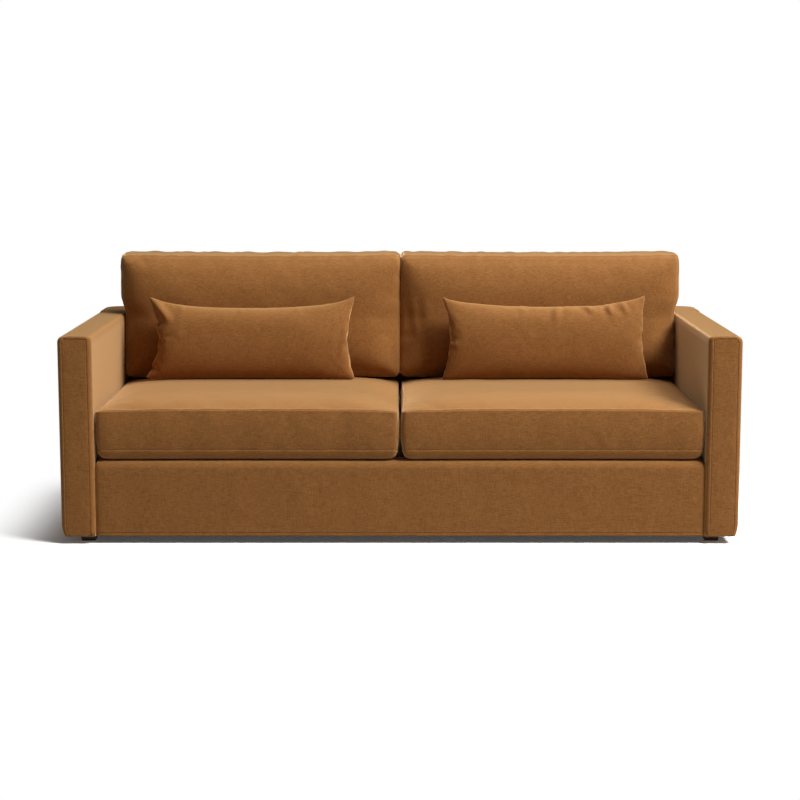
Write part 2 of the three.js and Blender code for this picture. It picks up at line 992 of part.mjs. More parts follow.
// One seat cushion: a sewn cover with its wadding, a foam block and the zip at the rear.
function seatCushion(sideName, side) {
  const place = (geometry, material, name) => {
    const mesh = new THREE.Mesh(geometry, material);
    mesh.name = name;
    mesh.position.set(side * seatMiddleX, seatMiddleY, seatBottom);
    return mesh;
  };
  const cover = place(boxedCushion(seatSizes, 0, true), velvet(), `seat_cushion_cover_${sideName}`);
  const hollow = place(boxedCushion(seatSizes, seatWall, false), null, "");
  const core = place(
    boxedCushion(seatSizes, seatWall + clearance, false),
    foam(),
    `seat_cushion_foam_${sideName}`,
  );
  const face = seatMiddleY + seatDepth / 2 - seatDrawIn;
  const level = seatBottom + seatThickness / 2;
  const halfLength = (zipLengthShare * seatSizes.width) / 2;
  const middle = side * seatMiddleX;
  const slotDepth = seatWall + overrun;
  const mouth = face + overrun;
  const slot = zipBox("", null, middle, halfLength, mouth, -1, slotDepth + overrun, 0, level);
  const zipper = zip(`seat_cushion_zip_${sideName}`, middle, halfLength, face, -1, level);
  return [cut(cover, hollow, slot), core, zipper];
}

// Blocks that trim a cushion flat where it rests: all below a level, and all behind a leaning
// face from there up to a top level.
function restCuts(level, faceAt, top) {
  const reach = halfWidth + overrun;
  const low = level - overrun;
  return [
    block("", null, [-reach, frontFace, 0], [reach, rearFace, level]),
    carriedAcross(
      "",
      null,
      [
        [faceAt(low), low],
        [faceAt(top), top],
        [rearFace, top],
        [rearFace, low],
      ],
      -reach,
      2 * reach,
    ),
  ];
}

// One back cushion: flat below where it rests and behind where it leans, with a filled inner
// case and a zip along the rear of its underside.
function backCushion(sideName, side) {
  const meshOf = (inset, fine, material, name) => {
    const flat = boxedCushion(backCushionSizes, inset, fine);
    const mesh = new THREE.Mesh(leanOnBack(flat, side, 0), material);
    mesh.name = name;
    return mesh;
  };
  const cover = meshOf(0, true, velvet(), `back_cushion_cover_${sideName}`);
  const restFace = (z) => innerBackAt(z) - clearance;
  cut(cover, ...restCuts(backCushionBottom, restFace, armHeight + clearance));
  const hollow = meshOf(backCushionWall, false, null, "");
  const core = meshOf(backCushionWall + clearance, false, foam(), `back_cushion_fill_${sideName}`);
  const level = backCushionBottom;
  const middle = side * backCushionX;
  const halfLength = (zipLengthShare * backCushionSizes.width) / 2;
  const slotMiddle = innerBackAt(level) - backCushionThickness / 2;
  const upTo = level + backCushionWall + backCushionBulge;
  const lying = (name, material, gap, low, high, half) =>
    block(
      name,
      material,
      [middle - half + gap, slotMiddle - zipWidth / 2 + gap, low],
      [middle + half - gap, slotMiddle + zipWidth / 2 - gap, high],
    );
  const slot = lying("", null, 0, level - overrun, upTo, halfLength);
  const tapeTop = level + 2 * zipTapeThickness;
  const tape = lying(
    `back_cushion_zip_${sideName}`,
    zipPlastic(),
    clearance,
    tapeTop - zipTapeThickness,
    tapeTop,
    halfLength,
  );
  const slider = lying("", null, 2 * clearance, tapeTop - zipTapeThickness, tapeTop, halfLength);
  slider.scale.x = zipSliderLength / (2 * halfLength);
  slider.position.z += zipTapeThickness;
  slider.position.x += halfLength - zipSliderLength;
  return [cut(cover, hollow, slot), core, join(tape, slider)];
}

const pillowWidth = armInside - pillowFromMiddle - pillowFromArm;

// A knife-edged pillow lying flat: drawn-in sides, pointed corners and a crown on each face.
function pillowForm(seamInset, faceInset, fine) {
  const halfX = pillowWidth / 2 - seamInset;
  const halfY = pillowHeight / 2 - seamInset;
  const halfThickness = pillowThickness / 2 - faceInset;
  const sideSteps = fine ? 7 : 3;
  const corners = [
    [1, 1],
    [-1, 1],
    [-1, -1],
    [1, -1],
  ];
  const edge = corners.flatMap(([cornerX, cornerY], corner) => {
    const [nextX, nextY] = corners[(corner + 1) % corners.length];
    return Array.from({ length: sideSteps }, (_, step) => {
      const u = THREE.MathUtils.lerp(cornerX, nextX, step / sideSteps);
      const v = THREE.MathUtils.lerp(cornerY, nextY, step / sideSteps);
      const endDraw = v > 0 ? pillowTopDrawIn : pillowBottomDrawIn;
      const pullX = pillowSideDrawIn * (1 - v * v);
      const pullY = endDraw * (1 - u * u);
      return [u * (halfX - pullX), v * (halfY - pullY)];
    });
  });
  const ringShares = fine ? [0.35, 0.6, 0.8, 0.93] : [0.5, 0.85];
  const swell = (share) => halfThickness * (1 - share ** 2.4) ** 0.62;
  const ring = (share, face) => edge.map(([x, y]) => [x * share, y * share, face * swell(share)]);
  const rings = [
    ...ringShares.map((share) => ring(share, -1)),
    edge.map(([x, y]) => [x, y, 0]),
    ...ringShares.toReversed().map((share) => ring(share, 1)),
  ];
  return closedRings(rings, [0, 0, -halfThickness], [0, 0, halfThickness]);
}

// One lumbar pillow: stands on the seat cushion and leans on the back cushion, and is flat
// where it meets them, with a filled inner case. Its cover opens along the seam below.
function lumbarPillow(sideName, side) {
  const lean = Math.atan(pillowLeanShare);
  const x = side * (pillowFromMiddle + pillowWidth / 2);
  const halfHeight = (pillowHeight / 2 - pillowBottomDrawIn) * Math.cos(lean);
  const level = seatTopAt(seatMiddleX, backCushionFrontY - pillowThickness) + clearance;
  const z = level - pressedFlat + halfHeight;
  const faceY = backCushionFaceAt(x, z);
  const rise = backCushionFaceAt(x, z + overrun) - backCushionFaceAt(x, z - overrun);
  const restFace = (height) => faceY - clearance + ((height - z) * rise) / (2 * overrun);
  const y = faceY - (pillowThickness / 2) * Math.cos(lean);
  const place = (geometry, material, name) => {
    const mesh = new THREE.Mesh(geometry, material);
    mesh.name = name;
    mesh.rotation.x = Math.PI / 2 - lean;
    mesh.position.set(x, y, z);
    return mesh;
  };
  const cover = place(pillowForm(0, 0, true), velvet(), `lumbar_pillow_cover_${sideName}`);
  cut(cover, ...restCuts(level, restFace, z + pillowHeight));
  const hollow = place(pillowForm(pillowSeamWall, pillowFaceWall, false), null, "");
  const fill = place(
    pillowForm(pillowSeamWall + clearance, pillowFaceWall + clearance, false),
    foam(),
    `lumbar_pillow_fill_${sideName}`,
  );
  const slotGeometry = new THREE.BoxGeometry(
    zipLengthShare * pillowWidth,
    2 * (pillowSeamWall + pillowBottomDrawIn + overrun),
    pillowSlotHeight,
  );
  slotGeometry.translate(0, -pillowHeight / 2, 0);
  const slot = place(slotGeometry, null, "");
  return [cut(cover, hollow, slot), fill];
}

const sides = [
  ["left", -1],
  ["right", 1],
];

function sofa() {
  const whole = new THREE.Group();
  const seatTimber = seatFrame();
  const named = (name) => seatTimber.getObjectByName(name);
  const dustCover = dustCoverSheet();
  const places = footPlaces();
  const boltRooms = places.map(([, x, y]) => boltRoom(x, y));
  const feet = places.flatMap(([place, x, y]) => foot(place, x, y));
  sides.forEach(([sideName, side]) => {
    const cornerPiece = cornerBlock(`corner_block_${sideName}`, side);
    const crossing = [named("front_rail"), named("rear_seat_rail"), cornerPiece];
    const cover = armCover(sideName, side, crossing, dustCover);
    const boards = armFrame(sideName, side).map((piece) =>
      piece.name.startsWith("side_rail") ? cut(piece, ...boltRooms) : piece,
    );
    whole.add(...boards, cornerPiece, cover, armFrontPanel(sideName, side));
  });
  const backTimber = backFrame().map((piece) =>
    piece.name.startsWith("back_post") ? cut(piece, ...boltRooms) : piece,
  );
  cut(dustCover, ...boltRooms);
  whole.add(seatTimber, ...backTimber, dustCover, ...feet);
  whole.add(
    seatSprings(),
    clipStrip("spring_clip_strip_front", frontRailFace, 1),
    clipStrip("spring_clip_strip_rear", armRear - clipStripDepth, -1),
    backWebbing(),
    backCover(),
    innerBack(),
    frontBorder(),
    ...deck(),
  );
  sides.forEach(([sideName, side]) => {
    whole.add(...seatCushion(sideName, side), ...backCushion(sideName, side));
    whole.add(...lumbarPillow(sideName, side));
  });
  return whole;
}

export default sofa();
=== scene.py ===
import bmesh
import bpy
import numpy as np
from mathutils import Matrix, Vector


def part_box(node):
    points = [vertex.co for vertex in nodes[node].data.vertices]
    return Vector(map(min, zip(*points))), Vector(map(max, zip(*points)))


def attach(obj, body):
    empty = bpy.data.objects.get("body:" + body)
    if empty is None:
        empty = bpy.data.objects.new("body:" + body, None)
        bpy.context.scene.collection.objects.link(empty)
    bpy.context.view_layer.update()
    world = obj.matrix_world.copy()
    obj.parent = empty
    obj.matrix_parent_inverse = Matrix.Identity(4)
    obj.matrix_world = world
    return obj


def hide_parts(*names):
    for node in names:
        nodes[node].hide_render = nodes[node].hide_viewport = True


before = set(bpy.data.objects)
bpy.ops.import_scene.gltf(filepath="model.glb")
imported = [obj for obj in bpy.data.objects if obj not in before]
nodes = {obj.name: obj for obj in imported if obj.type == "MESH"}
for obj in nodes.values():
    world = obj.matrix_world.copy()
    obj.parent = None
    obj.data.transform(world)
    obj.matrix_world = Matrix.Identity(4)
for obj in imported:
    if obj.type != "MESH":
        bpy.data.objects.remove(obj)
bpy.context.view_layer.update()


# Timber frame
# Planed pine boards, glued and screwed together below the padding: rails, posts, slats and
# corner blocks. They keep the frame's own shapes, and the grain runs along each board.
def paint(code):
    """An sRGB colour written RRGGBB, as the linear colour that a shader takes."""
    channels = np.array([int(code[i:i + 2], 16) for i in (0, 2, 4)]) / 255
    linear = np.where(channels < 0.04045, channels / 12.92, ((channels + 0.055) / 1.055) ** 2.4)
    return (*linear, 1.0)


def feed(made, socket, value):
    """Gives a shader socket a number, a colour or the output of another node."""
    if isinstance(value, bpy.types.NodeSocket):
        made.node_tree.links.new(value, socket)
    else:
        socket.default_value = value


def add(made, kind, inputs=None, **settings):
    """Adds one shader node with its own settings and its named inputs."""
    added = made.node_tree.nodes.new(kind)
    for name, value in settings.items():
        setattr(added, name, value)
    for name, value in (inputs or {}).items():
        feed(made, added.inputs[name], value)
    return added


def new_finish(name, roughness, metallic=0.0):
    """A node material and its shader, with a plain roughness and metallic share."""
    made = bpy.data.materials.new(name)
    made.use_nodes = True
    shader = made.node_tree.nodes["Principled BSDF"]
    shader.inputs["Roughness"].default_value = roughness
    shader.inputs["Metallic"].default_value = metallic
    return made, shader


def place_on(made, stretch=(1.0, 1.0, 1.0)):
    """Where a point lies on the piece, in metres, each axis stretched by its own factor."""
    spot = add(made, "ShaderNodeTexCoord").outputs["Object"]
    return add(made, "ShaderNodeMapping", {"Vector": spot, "Scale": stretch}).outputs[0]


def mottle(made, place, scale, detail=3.0, roughness=0.5):
    """Uneven noise from 0 to 1, with a number of blots per metre."""
    inputs = {"Vector": place, "Scale": scale, "Detail": detail, "Roughness": roughness}
    return add(made, "ShaderNodeTexNoise", inputs).outputs["Fac"]


def tones(made, factor, *stops):
    """Colours set at places from 0 to 1 of a factor, blended between them."""
    ramp = add(made, "ShaderNodeValToRGB", {"Fac": factor})
    points = ramp.color_ramp.elements
    while len(points) < len(stops):
        points.new(1.0)
    for point, (position, code) in zip(points, stops):
        point.position = position
        point.color = paint(code)
    return ramp.outputs["Color"]


def emboss(made, shader, height, depth, below=None):
    """Raises the shaded surface by a height from 0 to 1 times a depth in metres."""
    inputs = {"Height": height, "Distance": depth, "Strength": 1.0}
    if below is not None:
        inputs["Normal"] = below
    raised = add(made, "ShaderNodeBump", inputs).outputs["Normal"]
    feed(made, shader.inputs["Normal"], raised)
    return raised


def mottled(name, roughness, blots, stops, metallic=0.0, stretch=(1.0, 1.0, 1.0)):
    """A finish whose colour runs through its tones as noise does, given the blots per metre and
    if need be the detail and roughness. Its shader, place and noise come with it."""
    made, shader = new_finish(name, roughness, metallic)
    place = place_on(made, stretch)
    cloud = mottle(made, place, *blots)
    feed(made, shader.inputs["Base Color"], tones(made, cloud, *stops))
    return made, shader, place, cloud


def pine(name, along):
    """Pine whose growth lines run along one axis of three, with fine pores between them."""
    stretch = [1.0, 1.0, 1.0]
    stretch[along] = 0.05
    stops = ((0.30, "b58a57"), (0.50, "d3b07c"), (0.72, "e0c595"))
    made, shader, place, _ = mottled(name, 0.62, (60.0, 5.0, 0.6), stops, stretch=stretch)
    emboss(made, shader, mottle(made, place, 500.0, 2.0), 0.0003)
    return made


def dress(piece, finish):
    """Gives a piece one finish all over."""
    piece.data.materials.clear()
    piece.data.materials.append(finish)


pine_along = [pine(f"pine_along_{axis}", index) for index, axis in enumerate("xyz")]
board_words = ("rail", "post", "slat", "stretcher", "block")
for name in sorted(nodes):
    if any(word in name for word in board_words):
        low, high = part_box(name)
        dress(nodes[name], pine_along[int(np.argmax(high - low))])


# Springs and fasteners
# Eight sinuous springs of oil-tempered wire run from rail to rail, held in pressed clip
# strips, with two straight wires tied across them. Zinc-plated bolts hold the feet.
def new_piece(name, points, faces, finish):
    """A smooth mesh object with its place in its points, all its faces pointing outwards."""
    faces = faces if isinstance(faces, list) else faces.tolist()
    mesh = bpy.data.meshes.new(name)
    mesh.from_pydata(points.reshape(-1, 3).tolist(), [], faces)
    shape = bmesh.new()
    shape.from_mesh(mesh)
    bmesh.ops.recalc_face_normals(shape, faces=shape.faces)
    shape.to_mesh(mesh)
    shape.free()
    mesh.shade_smooth()
    piece = bpy.data.objects.new(name, mesh)
    bpy.context.scene.collection.objects.link(piece)
    dress(piece, finish)
    return piece


def numbered(*shape):
    """The numbers of the points of a grid, row by row."""
    return np.arange(np.prod(shape)).reshape(shape)


def quads(index):
    """The four-sided faces between neighbouring points of a grid of point numbers."""
    corners = (index[:-1, :-1], index[:-1, 1:], index[1:, 1:], index[1:, :-1])
    return np.stack(corners, axis=-1).reshape(-1, 4)


def wire(path, radius, sides=8):
    """A round wire whose path lies level: a ring of points stands square to the path at each
    of its points, made of the level direction across the wire and the upward one."""
    forward = np.gradient(path, axis=0)
    across = np.cross(forward, (0.0, 0.0, 1.0))
    across /= np.linalg.norm(across, axis=1, keepdims=True)
    angle = np.linspace(0, 2 * np.pi, sides, endpoint=False)[:, None]
    ring = np.cos(angle) * across[:, None] + np.sin(angle) * np.array((0.0, 0.0, 1.0))
    points = path[:, None] + radius * ring
    index = numbered(len(path), sides)
    faces = quads(np.hstack([index, index[:, :1]])).tolist()
    return points.reshape(-1, 3), [*faces, index[0].tolist(), index[-1].tolist()]


def gathered(parts):
    """Several loose shapes as the points and faces of one."""
    starts = np.cumsum([0] + [len(points) for points, _ in parts])
    faces = [[start + i for i in face] for start, (_, some) in zip(starts, parts) for face in some]
    return np.concatenate([points for points, _ in parts]), faces


def plated_steel():
    """Zinc-plated steel: a cloudy grey with a fine grain."""
    stops = ((0.3, "83888c"), (0.7, "a5a9ac"))
    made, shader, place, _ = mottled("plated_steel", 0.35, (90.0,), stops, metallic=1.0)
    emboss(made, shader, mottle(made, place, 900.0, 2.0), 0.0001)
    return made


def spring_wire():
    """Tempered spring wire, dark blue-grey with an oily gloss."""
    stops = ((0.3, "54595f"), (0.7, "7b8086"))
    return mottled("spring_wire", 0.38, (60.0, 4.0), stops, metallic=1.0)[0]


spring_count = 8
spring_waves = 10
spring_sway = 0.022
spring_end = 0.042
spring_points = 420
tie_count = 2
wire_radius = 0.002
low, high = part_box("seat_springs")
reach = high.x - spring_sway
wire_level = (low.z + high.z) / 2
along = np.linspace(low.y, high.y, spring_points)
turn = np.clip((along - low.y - spring_end) / (high.y - low.y - 2 * spring_end), 0, 1)
sway = spring_sway * np.sin(2 * np.pi * spring_waves * turn)
level = np.full_like(along, wire_level)
springs = [
    wire(np.stack([x + sway, along, level], axis=1), wire_radius)
    for x in np.linspace(-reach, reach, spring_count)
]
across = np.linspace(low.x, high.x, 3)
ties = [
    wire(np.stack([across, np.full(3, y), np.full(3, wire_level)], axis=1), wire_radius)
    for y in np.linspace(low.y, high.y, tie_count + 2)[1:-1]
]
sinuous_springs = new_piece("sinuous_springs", *gathered(springs + ties), spring_wire())
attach(sinuous_springs, "frame")
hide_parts("seat_springs")

plated = plated_steel()
for name in sorted(nodes):
    if "clip_strip" in name or "bolt" in name:
        dress(nodes[name], plated)


# Back webbing
# Eight upright and two level straps of woven jute, pulled tight and stapled to the front of
# the back rails. Each strap passes over one crossing strap and under the next.
def box_lattice(us, vs, ws):
    """Points on the six sides of a box, at every crossing of the places given along its three
    edges, and the four-sided faces between them."""
    index = numbered(len(ws), len(vs), len(us))
    sides = []
    for axis in range(3):
        for end in (0, -1):
            side = quads(np.take(index, end, axis))
            sides.append(side[:, ::-1] if (end == 0) != (axis == 1) else side)
    used, faces = np.unique(np.concatenate(sides), return_inverse=True)
    row, column = np.divmod(used, len(us))
    layer, row = np.divmod(row, len(vs))
    return us[column], vs[row], ws[layer], faces.reshape(-1, 4)


def bands(made, place, scale, across, distortion=0.0):
    """Even stripes from 0 to 1 square to one axis, bent by a distortion."""
    inputs = {"Vector": place, "Scale": scale, "Distortion": distortion}
    return add(made, "ShaderNodeTexWave", inputs, bands_direction=across).outputs["Fac"]


def jute(name, across):
    """Jute webbing: close ribs along the strap, and loose fibre in two tones."""
    stops = ((0.3, "a08c66"), (0.7, "c9b78f"))
    made, shader, place, _ = mottled(name, 0.85, (700.0,), stops)
    emboss(made, shader, bands(made, place, 160.0, across, 1.5), 0.0004)
    return made


strap_columns = 8
strap_rows = 2
strap_width = 0.050
strap_thickness = 0.0022
crossing_reach = 0.030
weave_share = 0.55
lower_rail_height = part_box("back_lower_rail")[1].z
top_rail_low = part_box("back_top_rail")[0].z
low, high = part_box("back_webbing")
step = (high.x - low.x) / strap_columns
column_places = low.x + (np.arange(strap_columns) + 0.5) * step
row_step = (top_rail_low - lower_rail_height) / (strap_rows + 1)
row_places = lower_rail_height + (np.arange(strap_rows) + 1) * row_step


def weave_height(place, crossings, first):
    """How far a strap stands forward along its length: a hump at each crossing, and by turns
    forward and back, beginning with the given sign."""
    turns = first * (-1.0) ** np.arange(len(crossings))
    humps = np.exp(-(((place[:, None] - crossings) / crossing_reach) ** 2))
    return (humps * turns).sum(1) * strap_thickness * weave_share


def strap(length_axis, middle, ends, crossings, first):
    """A flat strap, 0 for one across the back or 2 for an upright one, with a rounded edge."""
    us = np.linspace(*ends, 120)
    u, v, w, faces = box_lattice(us, np.linspace(-1, 1, 7), np.array((-1.0, 1.0)))
    thin = strap_thickness / 2 * (1 - 0.5 * v ** 6)
    out = (low.y + high.y) / 2 + w * thin + weave_height(u, crossings, first)
    wide = middle + v * strap_width / 2
    order = (u, out, wide) if length_axis == 0 else (wide, out, u)
    return np.stack(order, axis=1), faces.tolist()


uprights = [
    strap(2, x, (low.z, high.z), row_places, (-1) ** i) for i, x in enumerate(column_places)
]
levels = [
    strap(0, z, (low.x, high.x), column_places, -((-1) ** i)) for i, z in enumerate(row_places)
]
for name, straps, ribs_across in (("upright_straps", uprights, "X"), ("level_straps", levels, "Z")):
    woven = new_piece(name, *gathered(straps), jute(name, ribs_across))
    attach(woven, "frame")
    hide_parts("back_webbing")


# Deck
# A wadding pad lies on the springs, and a plain cotton cloth is pulled over it and stapled
# to the rails, so it shows only when a seat cushion is drawn out.
def polyester_wadding():
    """White bonded wadding: soft blots and a matt, slightly raised surface."""
    stops = ((0.3, "dcd5c3"), (0.7, "efe9da"))
    made, shader, _, cloud = mottled("wadding", 0.95, (45.0, 5.0, 0.6), stops)
    emboss(made, shader, cloud, 0.002)
    return made


def reckon(made, operation, *values, kind="ShaderNodeMath"):
    """One step of arithmetic on numbers and sockets."""
    step = add(made, kind, operation=operation)
    for socket, value in zip(step.inputs, values):
        feed(made, socket, value)
    return step.outputs[0]


def plain_weave(name, pitch, blots, stops):
    """Matt cloth with its threads raised at a pitch in metres, where two sets of bands cross. A
    scale of 0.3183 over the pitch makes about one band for each thread."""
    made, shader, place, _ = mottled(name, 0.9, blots, stops)
    sets = [bands(made, place, 0.3183 / pitch, axis, 0.3) for axis in "XY"]
    emboss(made, shader, reckon(made, "MULTIPLY", *sets), 0.0003)
    return made


deck_dip = 0.0012


def deck_dips(x, y):
    """How far the deck sinks between the springs: a slow wave across, fading at the rails."""
    low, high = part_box("deck_cover")
    wave = 0.5 - 0.5 * np.cos(2 * np.pi * (x - low.x) / (high.x - low.x) * (spring_count + 1))
    depth = (y - low.y) / (high.y - low.y)
    return deck_dip * wave * (1 - (2 * depth - 1) ** 4)


def deck_sheet(name, node, finish, step):
    """A slab in the node's own box, dipped between the springs. At its rim it draws in by
    1 - sqrt(1 - 0.84 w^2) of its half thickness, w being -1 below and 1 above."""
    low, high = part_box(node)
    half = [(b - a) / 2 for a, b in zip(low, high)]
    middle = [(a + b) / 2 for a, b in zip(low, high)]
    us = np.linspace(-1, 1, round(2 * half[0] / step))
    vs = np.linspace(-1, 1, round(2 * half[1] / step))
    u, v, w, faces = box_lattice(us, vs, np.array((-1.0, -0.4, 0.4, 1.0)))
    rim = 1 - (1 - np.sqrt(1 - 0.84 * w ** 2)) * half[2] / np.array(half)[:2, None]
    x = middle[0] + half[0] * u * rim[0]
    y = middle[1] + half[1] * v * rim[1]
    z = middle[2] + half[2] * w - deck_dips(x, y) * (w + 1) / 2
    piece = new_piece(name, np.stack([x, y, z], axis=1), faces, finish)
    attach(piece, "frame")
    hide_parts(node)
    return piece


wadding = deck_sheet("deck_wadding", "deck_pad", polyester_wadding(), 0.020)
tan_cotton = plain_weave("deck_cotton", 0.0012, (130.0, 4.0), ((0.3, "84643f"), (0.7, "9a7a52")))
deck_cloth = deck_sheet("deck_cloth", "deck_cover", tan_cotton, 0.010)


# Dust cover
# Black spun cloth closes the underside. Its edges are folded in and stapled to the rails
# every six centimetres, and between them the cloth hangs a little slack.
spun_cloth = plain_weave("spun_cloth", 0.0022, (80.0, 4.0), ((0.3, "1f1d1b"), (0.7, "2c2a27")))


def places(low, high, step, lines=()):
    """Places from low to high about a step apart, and close together round each line."""
    even = np.linspace(low, high, max(2, round((high - low) / step) + 1))
    beside = np.array((0.0, 0.0006, 0.0012, 0.0018, 0.0026, 0.0036, 0.0050, 0.0070))
    close = np.array([line + side * beside for line in lines for side in (-1, 1)]).ravel()
    every = np.sort(np.concatenate([even, close[(close > low) & (close < high)]]))
    wide_enough = np.concatenate([[True], np.diff(every[:-1]) > 0.0003, [True]])
    return every[wide_enough]


dust_thickness = 0.0006
dust_fold = 0.018
dust_fold_blend = 0.0012
dust_doubling = 0.4
dust_sag = 0.0018
dust_sag_reach = 0.10
dust_pucker = 0.0003
dust_step = 0.016
staple_pitch = 0.060
staple_inset = 0.009
staple_half = (0.0050, 0.0005, 0.0003)
staple_drop = 0.0016
low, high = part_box("dust_cover")
dust_middle = (low.y + high.y) / 2
dust_half = ((high.x - low.x) / 2, (high.y - low.y) / 2)
us, vs = [
    places(-half, half, dust_step, [-half, dust_fold - half, half - dust_fold, half])
    for half in dust_half
]
u, v, w, faces = box_lattice(us, vs, np.array((0.0, 1.0)))
to_rim = np.minimum(dust_half[0] - np.abs(u), dust_half[1] - np.abs(v))
doubled = 0.5 - 0.5 * np.tanh((to_rim - dust_fold) / dust_fold_blend)
slack = np.sin(np.pi / 2 * np.clip((to_rim - dust_fold) / dust_sag_reach, 0, 1))
hang = dust_sag * slack * (0.6 + 0.4 * np.sin(u * 9.0) * np.sin(v * 11.0 + 0.7))
along_rim = np.where(np.abs(u) > np.abs(v) * 2, v, u)
pucker = dust_pucker * np.cos(2 * np.pi * along_rim / staple_pitch) * (to_rim < dust_fold)
z = high.z - hang - (1 - w) * (dust_thickness * (1 + dust_doubling * doubled) + pucker)
dust_points = np.stack([u, v + dust_middle, z], axis=1)
dust_sheet = new_piece("dust_sheet", dust_points, faces, spun_cloth)
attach(dust_sheet, "frame")
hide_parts("dust_cover")

u, v, w, faces = box_lattice(*[np.array((-1.0, 1.0))] * 3)
unit_box = np.stack([u, v, w], axis=1)
crowns = []
for sign in (-1, 1):
    for order in ([0, 1, 2], [1, 0, 2]):
        run = dust_half[order[0]] - 2 * staple_inset
        across = sign * (dust_half[order[1]] - staple_inset)
        half = np.array(staple_half)[order]
        for spot in np.linspace(-run, run, round(2 * run / staple_pitch) + 1):
            middle = np.array((spot, across, 0.0))[order]
            middle += (0.0, dust_middle, high.z - staple_drop)
            crowns.append((unit_box * half + middle, faces.tolist()))
staple_piece = new_piece("dust_cover_staples", *gathered(crowns), plated)
staple_piece.data.shade_flat()
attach(staple_piece, "frame")


# Feet
# Four low tapered blocks of beech with a dark stain and a satin lacquer, each screwed up into
# the frame. Their edges are eased.
def stained_beech():
    """Dark stained beech with upright grain."""
    stops = ((0.3, "20110a"), (0.55, "331c10"), (0.8, "452817"))
    blots, upright = (220.0, 5.0, 0.6), (1.0, 1.0, 0.12)
    made, shader, _, grain = mottled("stained_beech", 0.38, blots, stops, stretch=upright)
    emboss(made, shader, grain, 0.0002)
    return made


foot_taper = 0.003
foot_rounding = 0.003
stain = stained_beech()
for place in ("front_left", "front_right", "rear_left", "rear_right"):
    low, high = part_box(f"foot_{place}")
    half = np.array((high - low) / 2)[[0, 0, 2]]
    eased = np.array((0.0, 0.15, 0.5, 1.0)) * foot_rounding
    sides, _, rises = [
        np.concatenate([eased / size - 1, (0.0,), 1 - eased[::-1] / size]) for size in half
    ]
    u, v, w, faces = box_lattice(sides, sides, rises)
    core = 1 - foot_rounding / half
    unit = np.stack([u, v, w], axis=1)
    inner = np.clip(unit, -core, core)
    outer = (unit - inner) * half
    size = np.linalg.norm(outer, axis=1, keepdims=True)
    flat = np.abs(outer).max(1, keepdims=True)
    block = inner * half + outer * np.where(size > 0, flat / np.maximum(size, 1e-9), 1)
    block[:, :2] *= (1 - foot_taper / half[0] * (1 - w) / 2)[:, None]
    block += np.array((high + low) / 2)
    foot = new_piece(f"foot_block_{place}", block, faces, stain)
    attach(foot, "frame")
    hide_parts(f"foot_{place}")


# Arms
# Each arm is a slim padded box: velvet pulled over wadding on the timber, with a seam along
# its inner top edge. At the front it wraps round the edge to a seam sewn to the front panel.
def stitch_marks(piece, distance, along):
    """Keeps on each point how near it is to a line of stitches, in metres below the reach of
    twenty millimetres, and how far along that line it lies."""
    near = np.maximum(stitch_reach - np.abs(distance), 0.0).ravel()
    for name, values in (("near_stitch", near), ("along_stitch", along.ravel())):
        attribute = piece.data.attributes.new(name, "FLOAT", "POINT")
        attribute.data.foreach_set("value", values.astype(np.float32))


def blended(made, factor, first, second):
    """Two colours mixed by a factor."""
    mix = add(made, "ShaderNodeMix", data_type="RGBA")
    for index, value in ((0, factor), (6, first), (7, second)):
        feed(made, mix.inputs[index], value)
    return mix.outputs[2]


def cotton_velvet():
    """Golden-brown velvet: a short pile that lies unevenly, so it is mottled and faintly
    streaked. Besides the shader's own sheen it has a painted sheen: its colour is blended paler and
    more golden where the surface is seen at a glancing angle, whatever light reaches it. It is
    marked by rows of small stitches."""
    made, shader = new_finish("velvet", 0.80)
    place = place_on(made)
    level = mottle(made, place_on(made, (0.14, 1.0, 1.0)), 420.0, 2.0, 0.6)
    upright = mottle(made, place_on(made, (1.0, 1.0, 0.14)), 420.0, 2.0, 0.6)
    grain = mottle(made, place, 620.0, 3.0, 0.6)
    clouds = mottle(made, place, 26.0, 4.0, 0.6)
    lie = reckon(made, "MULTIPLY_ADD", level, 0.33, reckon(made, "MULTIPLY", upright, 0.27))
    lie = reckon(made, "MULTIPLY_ADD", clouds, 0.10, reckon(made, "MULTIPLY_ADD", grain, 0.30, lie))
    pile = tones(made, lie, (0.40, "7f5229"), (0.50, "905f31"), (0.60, "a16d3b"))
    near = add(made, "ShaderNodeAttribute", attribute_name="near_stitch").outputs["Fac"]
    along = add(made, "ShaderNodeAttribute", attribute_name="along_stitch").outputs["Fac"]
    dash = reckon(made, "FRACT", reckon(made, "MULTIPLY", along, stitches_per_metre))
    dash = reckon(made, "LESS_THAN", dash, stitch_share)
    line = reckon(made, "GREATER_THAN", near, stitch_reach - thread_half_width)
    thread = reckon(made, "MULTIPLY", dash, line)
    sewn = blended(made, thread, pile, paint("7a4e28"))
    # Painted sheen: the base colour is blended towards a pale gold by the square of how glancing
    # the view is, so faces seen edge-on look lighter whatever the light.
    glance = add(made, "ShaderNodeLayerWeight", {"Blend": 0.5}).outputs["Facing"]
    painted_sheen = reckon(made, "MULTIPLY", reckon(made, "POWER", glance, 2.0), 0.62)
    feed(made, shader.inputs["Base Color"], blended(made, painted_sheen, sewn, paint("d3a369")))
    shader.inputs["Sheen Weight"].default_value = 1.0
    shader.inputs["Sheen Roughness"].default_value = 0.33
    shader.inputs["Sheen Tint"].default_value = paint("ffd8a4")
    shader.inputs["Specular IOR Level"].default_value = 0.12
    raised = emboss(made, shader, lie, 0.0007)
    raised = emboss(made, shader, mottle(made, place, 1100.0, 2.0), 0.0002, raised)
    emboss(made, shader, thread, 0.0006, raised)
    return made


def seam_relief(distance, depth=0.0018, width=0.0016):
    """How far cloth stands out beside a seam: a valley of -depth exp(-(d / width)^2) on it, and
    three widths off on each side a roll 0.4 as high, where the turned-in edges lie below."""
    valley = -depth * np.exp(-((distance / width) ** 2))
    roll = 0.4 * depth * np.exp(-(((np.abs(distance) - 3 * width) / (1.8 * width)) ** 2))
    return valley + roll


